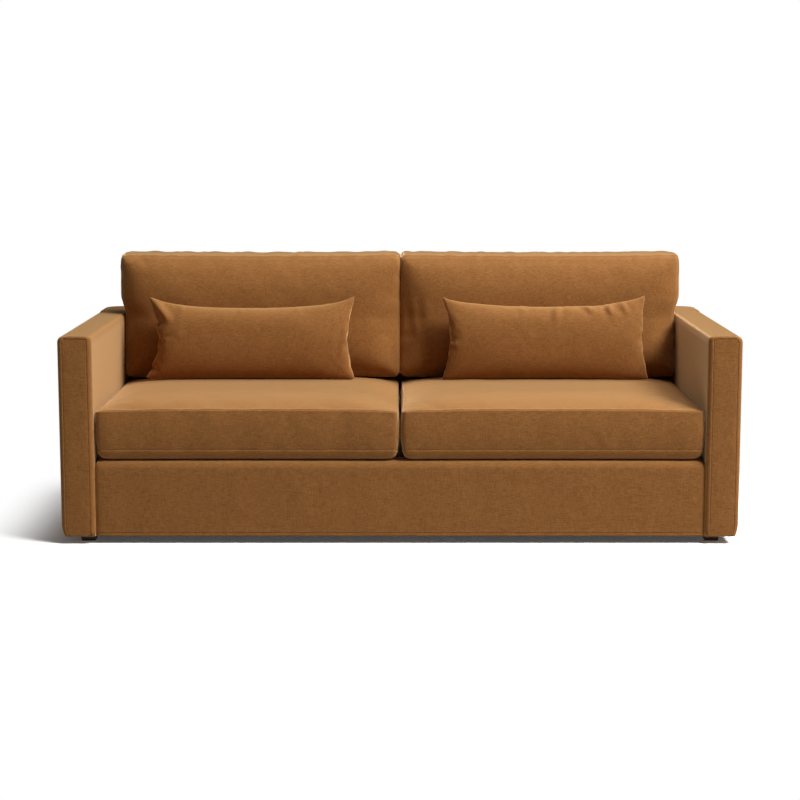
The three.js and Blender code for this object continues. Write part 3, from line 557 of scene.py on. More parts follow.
def ripple(along, pitch, seed):
    """An uneven wave of about one unit along a line: six sines of pitches near the given one,
    with seeded phases."""
    random = np.random.default_rng(seed)
    pitches = pitch * random.uniform(0.6, 1.9, 6)
    phases = random.uniform(0, 2 * np.pi, 6)
    return np.sin(2 * np.pi * np.asarray(along)[..., None] / pitches + phases).sum(-1) / 2.2


foot_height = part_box("dust_cover")[0].z
low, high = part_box("arm_cover_right")
arm_inside = low.x
arm_outside = high.x
arm_front = low.y
arm_rear = high.y
arm_top = high.z
arm_inner_rounding = 0.013
arm_outer_rounding = 0.018
arm_curl = (0.008, 0.040)
arm_crown = 0.002
arm_tuck = 0.014
arm_step = 0.016
arm_wrap_radius = 0.014
arm_skin_thickness = 0.006
arm_turn_up = 0.010
panel_side_seam = 0.014
panel_top_seam = 0.007
panel_stitch = 0.006
panel_depth = 0.010
panel_set_back = 0.0004
panel_rounding = (0.0018, 0.0030)
panel_corner = 0.010
panel_puff = 0.0015
panel_slack = 0.0004
joint_tuck = 0.0022
joint_reach = 0.0032
top_seam_drop = 0.012
top_seam_depth = 0.0009
top_seam_fade = 0.004
cover_slack = 0.0006
flush = 0.0001
face_margin = 0.001
stitch_reach = 0.020
stitches_per_metre = 280.0
stitch_share = 0.7
thread_half_width = 0.0006
both_sides = ((-1, "left"), (1, "right"))
velvet = cotton_velvet()


def arm_outline(inset):
    """The right arm's outline from the front, from below its inner face over the top to below
    its outer face, drawn in by an inset at the sides and by half of it at the top: the
    distance from the sofa's middle, and the height."""
    drop = inset * panel_top_seam / panel_side_seam
    inner = arm_inside + inset
    outer = arm_outside - inset
    top = arm_top - arm_crown - drop
    inner_radius = max(arm_inner_rounding - drop, 0.002)
    outer_radius = max(arm_outer_rounding - drop, 0.003)
    seam = arm_top - top_seam_drop
    inner_low, inner_high = foot_height, arm_top - arm_inner_rounding - panel_top_seam
    rise = places(inner_low, inner_high, arm_step, [seam])
    wanted = top - inner_radius - inner_low
    rise = inner_low + (rise - inner_low) * wanted / (inner_high - inner_low)
    turn = np.linspace(0, np.pi / 2, 9)[1:]
    flat = np.linspace(inner + inner_radius, outer - outer_radius, 12)
    fall = np.linspace(top - outer_radius, foot_height + arm_curl[1], 36)[1:]
    curl = np.linspace(0, 1, 8)[1:]
    tuck = np.linspace(0, arm_tuck, 4)[1:]
    x = np.concatenate([
        inner + tuck[::-1],
        np.full(len(rise), inner),
        inner + inner_radius * (1 - np.cos(turn)),
        flat[1:],
        outer - outer_radius * (1 - np.sin(turn)),
        np.full(len(fall), outer),
        outer - arm_curl[0] * curl ** 2,
        outer - arm_curl[0] - tuck,
    ])
    z = np.concatenate([
        np.full(len(tuck), foot_height),
        rise,
        top - inner_radius * (1 - np.sin(turn)),
        np.full(len(flat) - 1, top),
        top - outer_radius * (1 - np.cos(turn)),
        fall,
        foot_height + arm_curl[1] * (1 - curl),
        np.full(len(tuck), foot_height),
    ])
    share = np.clip((x - arm_inside) / (arm_outside - arm_inside), 0, 1)
    z = z + arm_crown * (1 - (2 * share - 1) ** 2) * (z > seam)
    return x, z


def outward_faces(piece, centre):
    """Turns an open skin's faces away from a point inside it."""
    mesh = piece.data
    middle = np.zeros(len(mesh.polygons) * 3)
    normal = np.zeros(len(mesh.polygons) * 3)
    mesh.polygons.foreach_get("center", middle)
    mesh.polygons.foreach_get("normal", normal)
    facing = (middle.reshape(-1, 3) - np.array(centre)) * normal.reshape(-1, 3)
    if facing.sum() < 0:
        mesh.flip_normals()


def skin_over(name, points, inside, thickness):
    """A velvet skin over a grid of points, turned away from a point inside it, which has its
    thickness inwards from the face that shows."""
    skin = new_piece(name, points, quads(numbered(*points.shape[:2])), velvet)
    outward_faces(skin, inside)
    wall = skin.modifiers.new("thickness", "SOLIDIFY")
    wall.thickness = thickness
    wall.offset = -1.0
    return skin


def arm_skin(side, side_name):
    """The arm's padded skin: its outline carried from the rear to the front, then drawn in
    round the front edge by a quarter circle and down into the panel's seam."""
    straight = places(arm_front + arm_wrap_radius, arm_rear, arm_step, [arm_rear])[::-1]
    tucked = joint_tuck * (1 - np.clip((arm_rear - straight) / joint_reach, 0, 1)) ** 2
    angle = np.linspace(0, np.pi / 2, 10)[1:]
    ys = np.concatenate([straight, arm_front + arm_wrap_radius * (1 - np.sin(angle)),
                         arm_front + np.array((0.0006, 0.0018, 0.0080))])
    insets = np.concatenate([tucked, panel_side_seam * (1 - np.cos(angle)),
                             panel_side_seam + np.array((0.0006, 0.0010, 0.0012))])
    x, z = [np.stack(rings) for rings in zip(*[arm_outline(inset) for inset in insets])]
    z[-3:] = np.maximum(z[-3:], foot_height + arm_turn_up)
    y = np.broadcast_to(ys[:, None], x.shape)
    run = np.cumsum(np.hypot(np.gradient(x[0]), np.gradient(z[0])))
    seed = 11 if side > 0 else 12
    slack = ripple(y, 0.21, seed) * ripple(run, 0.17, seed + 2)[None, :] * cover_slack
    middle = (arm_inside + arm_outside) / 2
    on_sides = (x[0] < arm_inside + flush) | (x[0] > arm_outside - flush)
    top_seam = seam_relief(z - (arm_top - top_seam_drop), top_seam_depth)
    top_seam = top_seam * np.clip(1 - (x - arm_inside) / top_seam_fade, 0, 1)
    x = x + np.where(x > middle, 1.0, -1.0) * (slack * on_sides + top_seam)
    points = np.stack([side * x, y, z], axis=-1)
    inside = (side * middle, (arm_front + arm_rear) / 2, arm_top / 2)
    return skin_over(f"arm_velvet_{side_name}", points, inside, arm_skin_thickness)


def edged(half, rim, margin, count):
    """Places from -half to half: a count of them up to a margin, and the rim's at both ends."""
    inner = np.linspace(margin - half, half - margin, count)
    return np.concatenate([rim - half, inner, half - rim[::-1]])


def arm_panel(side, side_name):
    """The front panel: a flat pad inside the seam, rounded at its rim where it dips into the
    seam. A point's place in a square is spread over the outline, and its distance from the
    rim sets how far it stands forward."""
    half_width = (arm_outside - arm_inside) / 2 - panel_side_seam
    half_height = (arm_top - arm_crown - panel_top_seam - foot_height) / 2
    rim = np.array((0.0, 0.0004, 0.0010, 0.0018, 0.0030, 0.0050, 0.0070))
    us, vs = [
        edged(half, rim, margin, count)
        for half, margin, count in ((half_width, panel_corner, 9), (half_height, 0.012, 60))
    ]
    u, v, w, faces = box_lattice(us, vs, np.array((0.0, 0.35, 0.7, 1.0)))
    edge = np.minimum(half_width - np.abs(u), half_height - np.abs(v))
    rounding = panel_rounding[0] * (1 - np.minimum(edge / panel_rounding[1], 1)) ** 2
    puff = panel_puff * (1 - (u / half_width) ** 4) * (1 - (v / half_height) ** 8)
    slack = panel_slack * ripple(v, 0.11, 21 if side > 0 else 22) * (1 - (u / half_width) ** 2)
    corner = np.clip(v - half_height + panel_corner, 0, None) * (np.abs(u) / half_width) ** 16
    curl = np.clip((arm_curl[1] - (v + half_height)) / arm_curl[1], 0, 1)
    x = side * ((arm_inside + arm_outside) / 2 + u - (u > 0) * arm_curl[0] * curl ** 2)
    y = arm_front + panel_set_back + (rounding - puff - slack) * w + panel_depth * (1 - w)
    z = foot_height + half_height + v - corner * 0.6
    panel = new_piece(f"arm_panel_{side_name}", np.stack([x, y, z], axis=-1), faces, velvet)
    to_seam = np.minimum(half_width - np.abs(u), half_height - v)
    stitch_marks(panel, to_seam - panel_stitch, np.where(v > u, z, x))
    return panel


for side, side_name in both_sides:
    skin = arm_skin(side, side_name)
    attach(skin, "frame")
    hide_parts(f"arm_cover_{side_name}")
    panel = arm_panel(side, side_name)
    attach(panel, "frame")
    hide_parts(f"arm_front_panel_{side_name}")


# Back
# The back's outer cover is one padded velvet shell across the whole width, stapled below the
# rails. It has rounded rear corners, a seam along its rear top edge and a middle seam behind.
back_low, back_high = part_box("back_cover")
back_corner_radius = 0.060
back_innermost = back_corner_radius - 0.004
back_rounding = 0.014
back_skin_thickness = 0.006
back_top_seam = 0.012
back_step = 0.018
back_hem = 0.012


def back_plan(inset):
    """The back's outline from above, from the left arm round the rear to the right arm, drawn
    in by an inset: distance across, and depth."""
    half = back_high.x - inset
    rear = back_high.y - inset
    radius = back_corner_radius - inset
    straight = places(back_low.y, back_high.y - back_corner_radius, back_step, [back_low.y])
    angle = np.linspace(0, np.pi / 2, 12)[1:-1]
    across = places(-back_high.x + back_corner_radius, 0.0, back_step, [0.0])
    across = np.concatenate([across, -across[-2::-1]])
    across = across * (half - radius) / (back_high.x - back_corner_radius)
    x = np.concatenate([
        np.full(len(straight), -half),
        -half + radius * (1 - np.cos(angle)),
        across,
        half - radius * (1 - np.cos(angle[::-1])),
        np.full(len(straight), half),
    ])
    y = np.concatenate([
        straight,
        rear - radius * (1 - np.sin(angle)),
        np.full(len(across), rear),
        rear - radius * (1 - np.sin(angle[::-1])),
        straight[::-1],
    ])
    return x, y


seam_height = arm_top - back_rounding - back_top_seam
rise = places(foot_height, arm_top - back_rounding, back_step, [seam_height])
turn = np.linspace(0, np.pi / 2, 8)[1:]
top_steps = np.array((0.004, 0.012, 0.030, 0.060, 0.100, 0.140))
insets = np.concatenate([
    [back_hem], np.zeros(len(rise)), back_rounding * (1 - np.cos(turn)), back_rounding + top_steps,
])
heights = np.concatenate([
    [foot_height], rise, arm_top - back_rounding * (1 - np.sin(turn)),
    np.full(len(top_steps), arm_top),
])
plans = [back_plan(min(inset, back_innermost)) for inset in insets]
x, y = [np.stack(rings) for rings in zip(*plans)]
extra = np.clip(insets - back_innermost, 0, None)[:, None]
x = x * (1 - extra / back_high.x)
y = np.maximum(y - extra * (y > back_low.y + 2 * face_margin), back_low.y)
z = np.broadcast_to(heights[:, None], x.shape)
run = np.cumsum(np.hypot(np.gradient(x[0]), np.gradient(y[0])))
slack = cover_slack * ripple(run, 0.24, 31)[None, :] * ripple(z, 0.2, 32)
behind = y > back_high.y - face_margin
tucked = joint_tuck * (1 - np.clip((y - back_low.y) / joint_reach, 0, 1)) ** 2
x = x - np.sign(x) * tucked * (np.abs(x) > back_high.x - face_margin)
z = z - tucked * (z > arm_top - back_rounding)
y = y + (slack + seam_relief(z - seam_height) + seam_relief(x)) * behind
back_inside = (0.0, back_low.y, arm_top / 2)
back_skin = skin_over("back_velvet", np.stack([x, y, z], axis=-1), back_inside, back_skin_thickness)
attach(back_skin, "frame")
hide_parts("back_cover")


# Inner back
# The padded face that the back cushions lean on: velvet over foam, pulled across the webbing
# and stapled below the top rail. It slopes from the deck up to there.
low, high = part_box("inner_back")
back_slope = 0.205
inner_puff = 0.002
inner_easing = 0.002
us = np.linspace(-1, 1, 90)
vs = np.linspace(-1, 1, 30)
u, v, w, faces = box_lattice(us, vs, np.linspace(-1, 1, 7))
x = (high.x - inner_easing * w ** 2 * np.abs(v) ** 6) * u
z = (low.z + high.z) / 2 + (high.z - low.z) / 2 * v
front = high.y - (arm_top - z) * back_slope
puff = inner_puff * (1 - u ** 8) * (1 - v ** 4)
y = high.y + (front - high.y) * (1 + w) / 2 + (inner_puff - puff) * (1 + w) / 2
inner_back = new_piece("inner_back_velvet", np.stack([x, y, z], axis=-1), faces, velvet)
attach(inner_back, "frame")
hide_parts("inner_back")


# Front border
# A padded velvet border covers the front rail from its hem below to the deck behind. Its top
# edge rolls over, drops at each arm, and a hem is folded under along the bottom.
low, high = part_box("front_border")
border_rounding = 0.018
border_front_drop = 0.009
border_end_radius = 0.020
border_end_sink = (0.004, 0.008)
border_skin_thickness = 0.008
border_end_fall = 0.8
border_end_line = 0.003
border_drop_reach = 0.05
border_turned_in = (0.014, 0.004)
border_stand = 0.0005
border_hem = 0.009
border_stitch = 0.013
border_step = 0.014
rise = places(foot_height, high.z - border_rounding, border_step, [foot_height + border_hem])
turn = np.linspace(0, np.pi / 2, 8)[1:]
lap = np.linspace(low.y + border_rounding, high.y, 6)[1:]
profile_y = np.concatenate([
    low.y + np.array(border_turned_in), np.full(len(rise), low.y),
    low.y + border_rounding * (1 - np.cos(turn)), lap,
])
profile_z = np.concatenate([
    [foot_height, foot_height], rise,
    high.z - border_rounding * (1 - np.sin(turn)), np.full(len(lap), high.z),
])
xs = places(low.x, high.x, border_step, [border_end_line - high.x, high.x - border_end_line])
x, z = np.meshgrid(xs, profile_z)
y = np.broadcast_to(profile_y[:, None], x.shape)
to_arm = high.x - np.abs(x)
bend = np.clip(1 - to_arm / border_end_radius, 0, 1)
fall = border_end_radius * (1 - np.sqrt(1 - bend ** 2)) * border_end_fall
drop = fall + border_front_drop * np.clip(1 - (y - low.y) / border_drop_reach, 0, 1)
height = (z - low.z) / (high.z - low.z)
slack = cover_slack * ripple(x, 0.13, 41) * np.sin(np.pi * height)
hem = seam_relief(z - foot_height - border_hem, 0.0010, 0.0014)
sink = border_end_sink[0] * np.exp(-((to_arm / border_end_sink[1]) ** 2))
y = y + sink - np.where(y < low.y + face_margin, hem + slack + border_stand, 0)
z = z - drop * height
border_points = np.stack([x, y, z], axis=-1)
border_inside = (0.0, high.y, 0.1)
border = skin_over("front_border_velvet", border_points, border_inside, border_skin_thickness)
stitch_marks(border, z - foot_height - border_stitch, x)
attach(border, "frame")
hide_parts("front_border")


# Seat cushions
# Two boxed cushions of foam wrapped in wadding: a top and a bottom panel sewn to a boxing all
# round, with a row of stitches beside the upper seam. They lie loose on the deck.
def poured_foam():
    """Upholstery foam: open cells of a millimetre in a pale cream."""
    stops = ((0.3, "e2d5b4"), (0.7, "efe5c9"))
    made, shader, place, _ = mottled("foam", 0.95, (30.0, 4.0), stops)
    cells = add(made, "ShaderNodeTexVoronoi", {"Vector": place, "Scale": 700.0})
    emboss(made, shader, cells.outputs["Distance"], 0.0008)
    return made


def zip_tape():
    """A brown nylon zip, with its teeth as raised bands across it."""
    made, shader = new_finish("zip_tape", 0.5)
    teeth = bands(made, place_on(made), 160.0, "X")
    feed(made, shader.inputs["Base Color"], tones(made, teeth, (0.2, "4b321c"), (0.8, "71502f")))
    emboss(made, shader, teeth, 0.0006)
    return made


def boxed_plan(u, v, half_x, half_y, corner, draw_in):
    """A rectangle at places u and v from -1 to 1. In the square at each corner, a ring of the
    square becomes a ring of the circle, as its largest side over its length says. Each side
    draws in by draw_in (1 - w^2), where w runs from -1 to 1 along it."""
    x, y = u * half_x, v * half_y
    over_x = np.maximum(np.abs(x) - (half_x - corner), 0)
    over_y = np.maximum(np.abs(y) - (half_y - corner), 0)
    both = (over_x > 0) & (over_y > 0)
    length = np.where(both, np.hypot(over_x, over_y), 1)
    share = np.where(both, np.maximum(over_x, over_y) / length, 1)
    x = np.sign(x) * (np.minimum(np.abs(x), half_x - corner) + over_x * share)
    y = np.sign(y) * (np.minimum(np.abs(y), half_y - corner) + over_y * share)
    x = x - np.sign(u) * draw_in * u ** 6 * (1 - v ** 2)
    y = y - np.sign(v) * draw_in * v ** 6 * (1 - u ** 2)
    return x, y


def point_normals(points, faces):
    """The direction that a surface faces at each point: the sum over its faces."""
    corners = points[faces]
    facing = np.cross(corners[:, 2] - corners[:, 0], corners[:, 3] - corners[:, 1])
    normals = np.zeros_like(points)
    np.add.at(normals, faces.ravel(), np.repeat(facing, 4, axis=0))
    return normals / np.maximum(np.linalg.norm(normals, axis=1, keepdims=True), 1e-12)


def cushion_mesh(halves, thickness, seam):
    """The crossings and faces of a cushion's mesh, closer together at its edges and seams, and
    the rows and columns of its filled face."""
    counts = [round(2 * (half - edge_margin) / cushion_step) + 1 for half in halves]
    us, vs = [
        edged(half, edge_places, edge_margin, count) / half for half, count in zip(halves, counts)
    ]
    ss = places(0.0, thickness, cushion_step, [0.0, seam, thickness]) / thickness
    return (*box_lattice(us, vs, ss), (len(vs), len(us), 3))


def spread(moves, axes, spots):
    """Moves known at the crossings of a lattice, read between them in straight lines along
    each of its three axes."""
    cells = []
    for axis, spot in zip(axes, spots):
        index = np.clip(np.searchsorted(axis, spot, side="right") - 1, 0, len(axis) - 2)
        share = (spot - axis[index]) / (axis[index + 1] - axis[index])
        cells.append(((index, 1 - share), (index + 1, share)))
    total = 0
    for i, across in cells[0]:
        for j, deep in cells[1]:
            for k, high in cells[2]:
                total = total + moves[i, j, k] * (across * deep * high)[:, None]
    return total


def blown_up(shapes, spare, full=1.0):
    """Fills closed shapes of cloth, cut larger by a spare share, with air in Blender's cloth
    simulation for twenty frames, or until one is full: thicker each way than a limit. A shape
    is its points, its faces and which points are held. Returns how far the points of each
    have moved."""
    pieces = []
    for points, faces, held in shapes:
        piece = new_piece("blown_cloth", points, faces, velvet)
        group = piece.vertex_groups.new(name="held")
        group.add(np.flatnonzero(held).tolist(), 1.0, "REPLACE")
        cloth = piece.modifiers.new("cloth", "CLOTH")
        cloth.collision_settings.use_collision = False
        cloth.settings.vertex_group_mass = group.name
        cloth.settings.use_pressure = True
        cloth.settings.uniform_pressure_force = cloth_pressure
        cloth.settings.shrink_min = -spare
        cloth.settings.effector_weights.gravity = 0
        pieces.append(piece)
    moves = [np.zeros_like(points) for points, _, _ in shapes]
    for number in range(1, 21):
        bpy.context.scene.frame_set(number)
        graph = bpy.context.evaluated_depsgraph_get()
        for index, (piece, (points, _, _)) in enumerate(zip(pieces, shapes)):
            ends = np.zeros(points.size)
            piece.evaluated_get(graph).data.vertices.foreach_get("co", ends)
            if np.abs(points + moves[index])[:, 2].max() < full:
                moves[index] = ends.reshape(-1, 3) - points
    for piece in pieces:
        bpy.data.meshes.remove(piece.data)
    bpy.context.scene.frame_set(1)
    return moves


def swelling(form, halves, seam, spare, caps):
    """How the cloth of a padded form swells when its two seams and its resting face are held,
    as a function of places on the form. A move m is kept to a cap c as c tanh(m / c), and the
    caps are those of the filled face and of the walls round it. Neighbours across the width
    are averaged, which leaves only the broad waves. The two ends are mirror images in form,
    so they share one swelling."""
    us, vs = [np.linspace(-1, 1, round(2 * half / sim_step) + 1) for half in halves[:2]]
    ss = np.linspace(0, 1, round(halves[2] / sim_step) + 1)
    seams = (seam / halves[2], 1.0)
    ss[[np.abs(ss - height).argmin() for height in seams]] = seams
    u, v, s, faces = box_lattice(us, vs, ss)
    points = np.stack(form(u, v, s), axis=1)
    at_rim = (np.abs(u) == 1) | (np.abs(v) == 1)
    held = (s == 0) | (at_rim & np.isin(s, seams))
    move = blown_up([(points, faces, held)], spare)[0]
    cap = np.where(at_rim, caps[1], caps[0])[:, None]
    length = np.linalg.norm(move, axis=1, keepdims=True)
    move = move * cap * np.tanh(length / cap) / np.maximum(length, 1e-9)
    moves = np.zeros((len(us), len(vs), len(ss), 3))
    moves[tuple(np.searchsorted(axis, spot) for axis, spot in ((us, u), (vs, v), (ss, s)))] = move
    for _ in range(2):
        moves[1:-1] = (moves[:-2] + 2 * moves[1:-1] + moves[2:]) / 4
    return lambda u, v, s: spread(moves, (us, vs, ss), (u, v, s))


def fold(x, y, start, end, width, height):
    """A soft fold between two points of a face: across it a bell with a shallow valley on
    each side, and along it half a sine."""
    run_x, run_y = end[0] - start[0], end[1] - start[1]
    length = np.hypot(run_x, run_y)
    along = ((x - start[0]) * run_x + (y - start[1]) * run_y) / length ** 2
    across = ((x - start[0]) * run_y - (y - start[1]) * run_x) / length / width
    bell = np.exp(-across ** 2) - 0.45 * np.exp(-(np.abs(across) - 1.9) ** 2)
    return height * np.sin(np.pi * np.clip(along, 0, 1)) * bell


def folds(x, y, lines):
    """The folds of a face added up, each given by its two ends, its width and its height."""
    return sum(fold(x, y, *line) for line in lines)


def seam_distances(u, v, s, halves, thickness, seam):
    """How far each point lies over the cloth from the seam round the filled face, and from
    the other one."""
    to_edge = np.minimum((1 - np.abs(u)) * halves[0], (1 - np.abs(v)) * halves[1])
    return (1 - s) * thickness + to_edge, np.abs(s * thickness - seam) + to_edge


def sewn_relief(along, distances, seams, seed):
    """The valley and rolls of each seam, with puckers beside it: an uneven wave along it that
    fades as exp(-distance / reach). A seam gives the pitch, reach and depth of its puckers,
    and the depth of its valley."""
    relief = 0
    for index, (distance, (pitch, reach, depth, valley)) in enumerate(zip(distances, seams)):
        pucker = ripple(along, pitch, seed + index) * np.exp(-distance / reach) * depth
        relief = relief + seam_relief(distance, valley) + pucker
    return relief


def smoothed(piece, levels):
    """Rounds a piece off by dividing its faces."""
    smooth = piece.modifiers.new("smooth", "SUBSURF")
    smooth.levels = smooth.render_levels = levels


def sewn_cover(name, points, faces, from_seam, along):
    """A cushion's cover with a row of stitches beside its seam."""
    cover = new_piece(name, points, faces, velvet)
    stitch_marks(cover, from_seam - cushion_stitch, along)
    smoothed(cover, 1)
    return cover


cloth_pressure = 4.0
sim_step = 0.014
cushion_step = 0.012
cushion_stitch = 0.006
edge_margin = 0.014
edge_places = np.array((0.0, 0.0007, 0.0014, 0.0022, 0.0032, 0.0046, 0.0066, 0.010))
seat_low, seat_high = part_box("seat_cushion_cover_right")
seat_half = ((seat_high.x - seat_low.x) / 2, (seat_high.y - seat_low.y) / 2)
seat_crown = 0.012
seat_end_drop = 0.006
seat_height = 0.159
seat_caps = (0.020, 0.003)
seat_spare = 0.015
seat_corner = 0.020
seat_draw_in = 0.004
seat_bulge = 0.004
seat_under = (0.024, 0.032)
seat_lower_seam = 0.032
seat_rear_firmness = 0.55
seat_slack = 0.0006
seat_seams = ((0.045, 0.018, 0.0007, 0.0018), (0.060, 0.016, 0.0006, 0.0007))
seat_folds = (
    ((0.400, 0.030), (0.372, 0.092), 0.006, 0.0022),
    ((0.435, 0.034), (0.428, 0.080), 0.005, 0.0018),
    ((-0.170, 0.036), (-0.130, 0.120), 0.010, 0.0012),
)


def seat_form(u, v, s):
    """A seat cushion lying at its place, half of it each way from its middle. u and v run from
    -1 to 1 across it and s from 0 below to 1 above. The walls curve in below, bulge between
    the seams and draw in along each side, and the top is crowned, flat in its middle."""
    height = seat_height * s
    curl = np.clip(1 - height / seat_under[1], 0, 1)
    under = seat_under[0] * (1 - np.sqrt(1 - curl ** 2))
    middle = (seat_lower_seam + seat_height) / 2
    span = (seat_height - seat_lower_seam) / 2
    swell = np.clip(1 - ((height - middle) / span) ** 2, 0, 1)
    inset = under + seat_bulge * (1 - swell)
    x, y = boxed_plan(u, v, seat_half[0] - inset, seat_half[1] - inset, seat_corner, seat_draw_in)
    share = (1 - u ** 8) * (1 - v ** 6)
    z = height + (seat_crown * share - seat_end_drop * u ** 4) * s ** 3
    return x, y, z


foam = poured_foam()
zip_finish = zip_tape()
seat_swelling = swelling(
    seat_form, (*seat_half, seat_height), seat_lower_seam, seat_spare, seat_caps
)


def seat_cushion(side_name, side):
    """The cushion's form and its swelling, then its seams and slack in the cloth. The points
    of its top come with it."""
    u, v, s, faces, top_shape = cushion_mesh(seat_half, seat_height, seat_lower_seam)
    firm = 1 - seat_rear_firmness * np.clip((v + 0.5) / 1.5, 0, 1)
    swell = seat_swelling(u * side, v, s) * (side, 1, 1) * firm[:, None]
    points = np.stack(seat_form(u, v, s), axis=1) + swell
    x, y, z = points.T
    distances = seam_distances(u, v, s, seat_half, seat_height, seat_lower_seam)
    on_side = np.abs(u) * seat_half[0] - seat_half[0] > np.abs(v) * seat_half[1] - seat_half[1]
    along = np.where(on_side, y, x)
    seed = 51 if side > 0 else 61
    slack = ripple(x, 0.19, seed + 2) * ripple(y, 0.16, seed + 3) * seat_slack * (s > 0.05)
    slack += (v < -0.97) * folds(-side * x, z, seat_folds)
    relief = sewn_relief(along, distances, seat_seams, seed) + slack
    points = points + point_normals(points, faces) * relief[:, None]
    points[:, 0] = np.clip(points[:, 0], -seat_half[0], seat_half[0])
    points[:, 2] = np.maximum(points[:, 2], 0.0)
    points += np.array((side * (seat_low.x + seat_half[0]), seat_low.y + seat_half[1], seat_low.z))
    name = f"seat_cushion_velvet_{side_name}"
    return sewn_cover(name, points, faces, distances[0], along), points[s == 1].reshape(top_shape)


seat_tops = {}
for side, side_name in both_sides:
    cushion, seat_tops[side] = seat_cushion(side_name, side)
    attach(cushion, f"seat_cushion_{side_name}")
    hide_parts(f"seat_cushion_cover_{side_name}")
    dress(nodes[f"seat_cushion_foam_{side_name}"], foam)
    dress(nodes[f"seat_cushion_zip_{side_name}"], zip_finish)


# Back cushions
# Two boxed cushions filled with fibre in an inner case: softer than the seat, fuller in front
# and gathered a little along the top seam. They stand on the seat and lean on the back.
rest_low, rest_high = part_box("back_cushion_cover_right")
rest_half = ((rest_high.x - rest_low.x) / 2, 0.214)
rest_thickness = 0.132
rest_shoulder = (0.034, 0.058)
rest_crown = 0.016
rest_crown_middle = 0.35
rest_tilt = 0.026
rest_low_share = 0.5
rest_top_firmness = 0.4
rest_end_drop = 0.004
rest_caps = (0.022, 0.005)
rest_spare = 0.012
rest_corner = 0.021
rest_draw_in = 0.004
rest_bulge = 0.004
rest_side_bulge = 0.002
rest_overhang = 0.022
rest_middle_swell = 0.018
rest_middle_gap = 0.0004
rest_meeting_wave = 0.0035
rest_top_drop = 0.005
rest_under = 0.020
rest_rear_seam = 0.022
rest_middle_z = rest_high.z - rest_half[1] - rest_top_drop
rest_slack = 0.0008
rest_seams = ((0.050, 0.024, 0.0011, 0.0018), (0.060, 0.020, 0.0012, 0.0018))
rest_pinch = (0.004, 0.011)
rest_pinches = {
    "left": (-0.305, -0.208, -0.090, 0.127, 0.428),
    "right": (-0.302, 0.000, 0.372),
}
rest_folds = {
    "left": (
        ((-0.474, 0.830), (-0.436, 0.848), 0.006, -0.0050),
        ((-0.430, 0.868), (-0.392, 0.826), 0.007, 0.0040),
    ),
    "right": (
        ((-0.452, 0.720), (-0.440, 0.540), 0.008, 0.0030),
        ((-0.425, 0.760), (-0.405, 0.600), 0.012, 0.0025),
        ((0.430, 0.868), (0.448, 0.790), 0.008, 0.0030),
    ),
}
rest_clearance = 0.0003
seat_clearance = 0.0006


def grid_level(grid, across, deep, x, y, height=2):
    """One coordinate of a nearly level grid of points, read at places by its other two."""
    columns = grid[len(grid) // 2, :, across]
    rows = grid[:, grid.shape[1] // 2, deep]
    flat = np.repeat(grid[:, :, None, height, None], 2, axis=2)
    spots = (np.clip(y, rows[0], rows[-1]), np.clip(x, columns[0], columns[-1]), np.zeros_like(x))
    return spread(flat, (rows, columns, np.array((0.0, 1.0))), spots)[:, 0]


def rest_form(u, v, s):
    """A back cushion upright at its place. u runs across, v up and s from the rear face to the
    front one. It is a boxed form like the seat's, sheared to the back's slope, and its front
    rises in a rounded shoulder inside the seam."""
    curl = np.clip(1 - rest_thickness * s / rest_under, 0, 1)
    under = rest_under * (1 - np.sqrt(1 - curl ** 2))
    swell = np.clip(1 - (2 * s - 1) ** 2, 0, 1)
    rear_inset = under + 0.4 * rest_bulge * (1 - swell)
    half_x, half_z = [
        half - np.where(s > 0.5, bulge * (1 - swell), rear_inset)
        for half, bulge in zip(rest_half, (rest_side_bulge, rest_bulge))
    ]
    x, z = boxed_plan(u, v, half_x, half_z, rest_corner, rest_draw_in)
    from_middle = v - rest_crown_middle
    from_middle = from_middle / (1 - rest_crown_middle * np.sign(from_middle))
    share = (1 - u ** 4) * (1 - np.abs(from_middle) ** 2.6)
    edge = np.minimum((1 - np.abs(u)) * rest_half[0], (1 - np.abs(v)) * rest_half[1])
    rise = np.clip(1 - edge / rest_shoulder[1], 0, 1)
    front = rest_shoulder[0] * np.sqrt(1 - rise ** 2) + rest_crown * share - rest_end_drop * u ** 4
    front += rest_tilt * np.sin(np.pi / 2 * v) * np.where(v > 0, 1.0, rest_low_share)
    z = z + rest_middle_z
    face = arm_rear - (arm_top - z) * back_slope - rest_clearance
    return x, face - (rest_thickness * s + front * s ** 3), z


rest_swelling = swelling(
    rest_form, (*rest_half, rest_thickness), rest_rear_seam, rest_spare, rest_caps
)


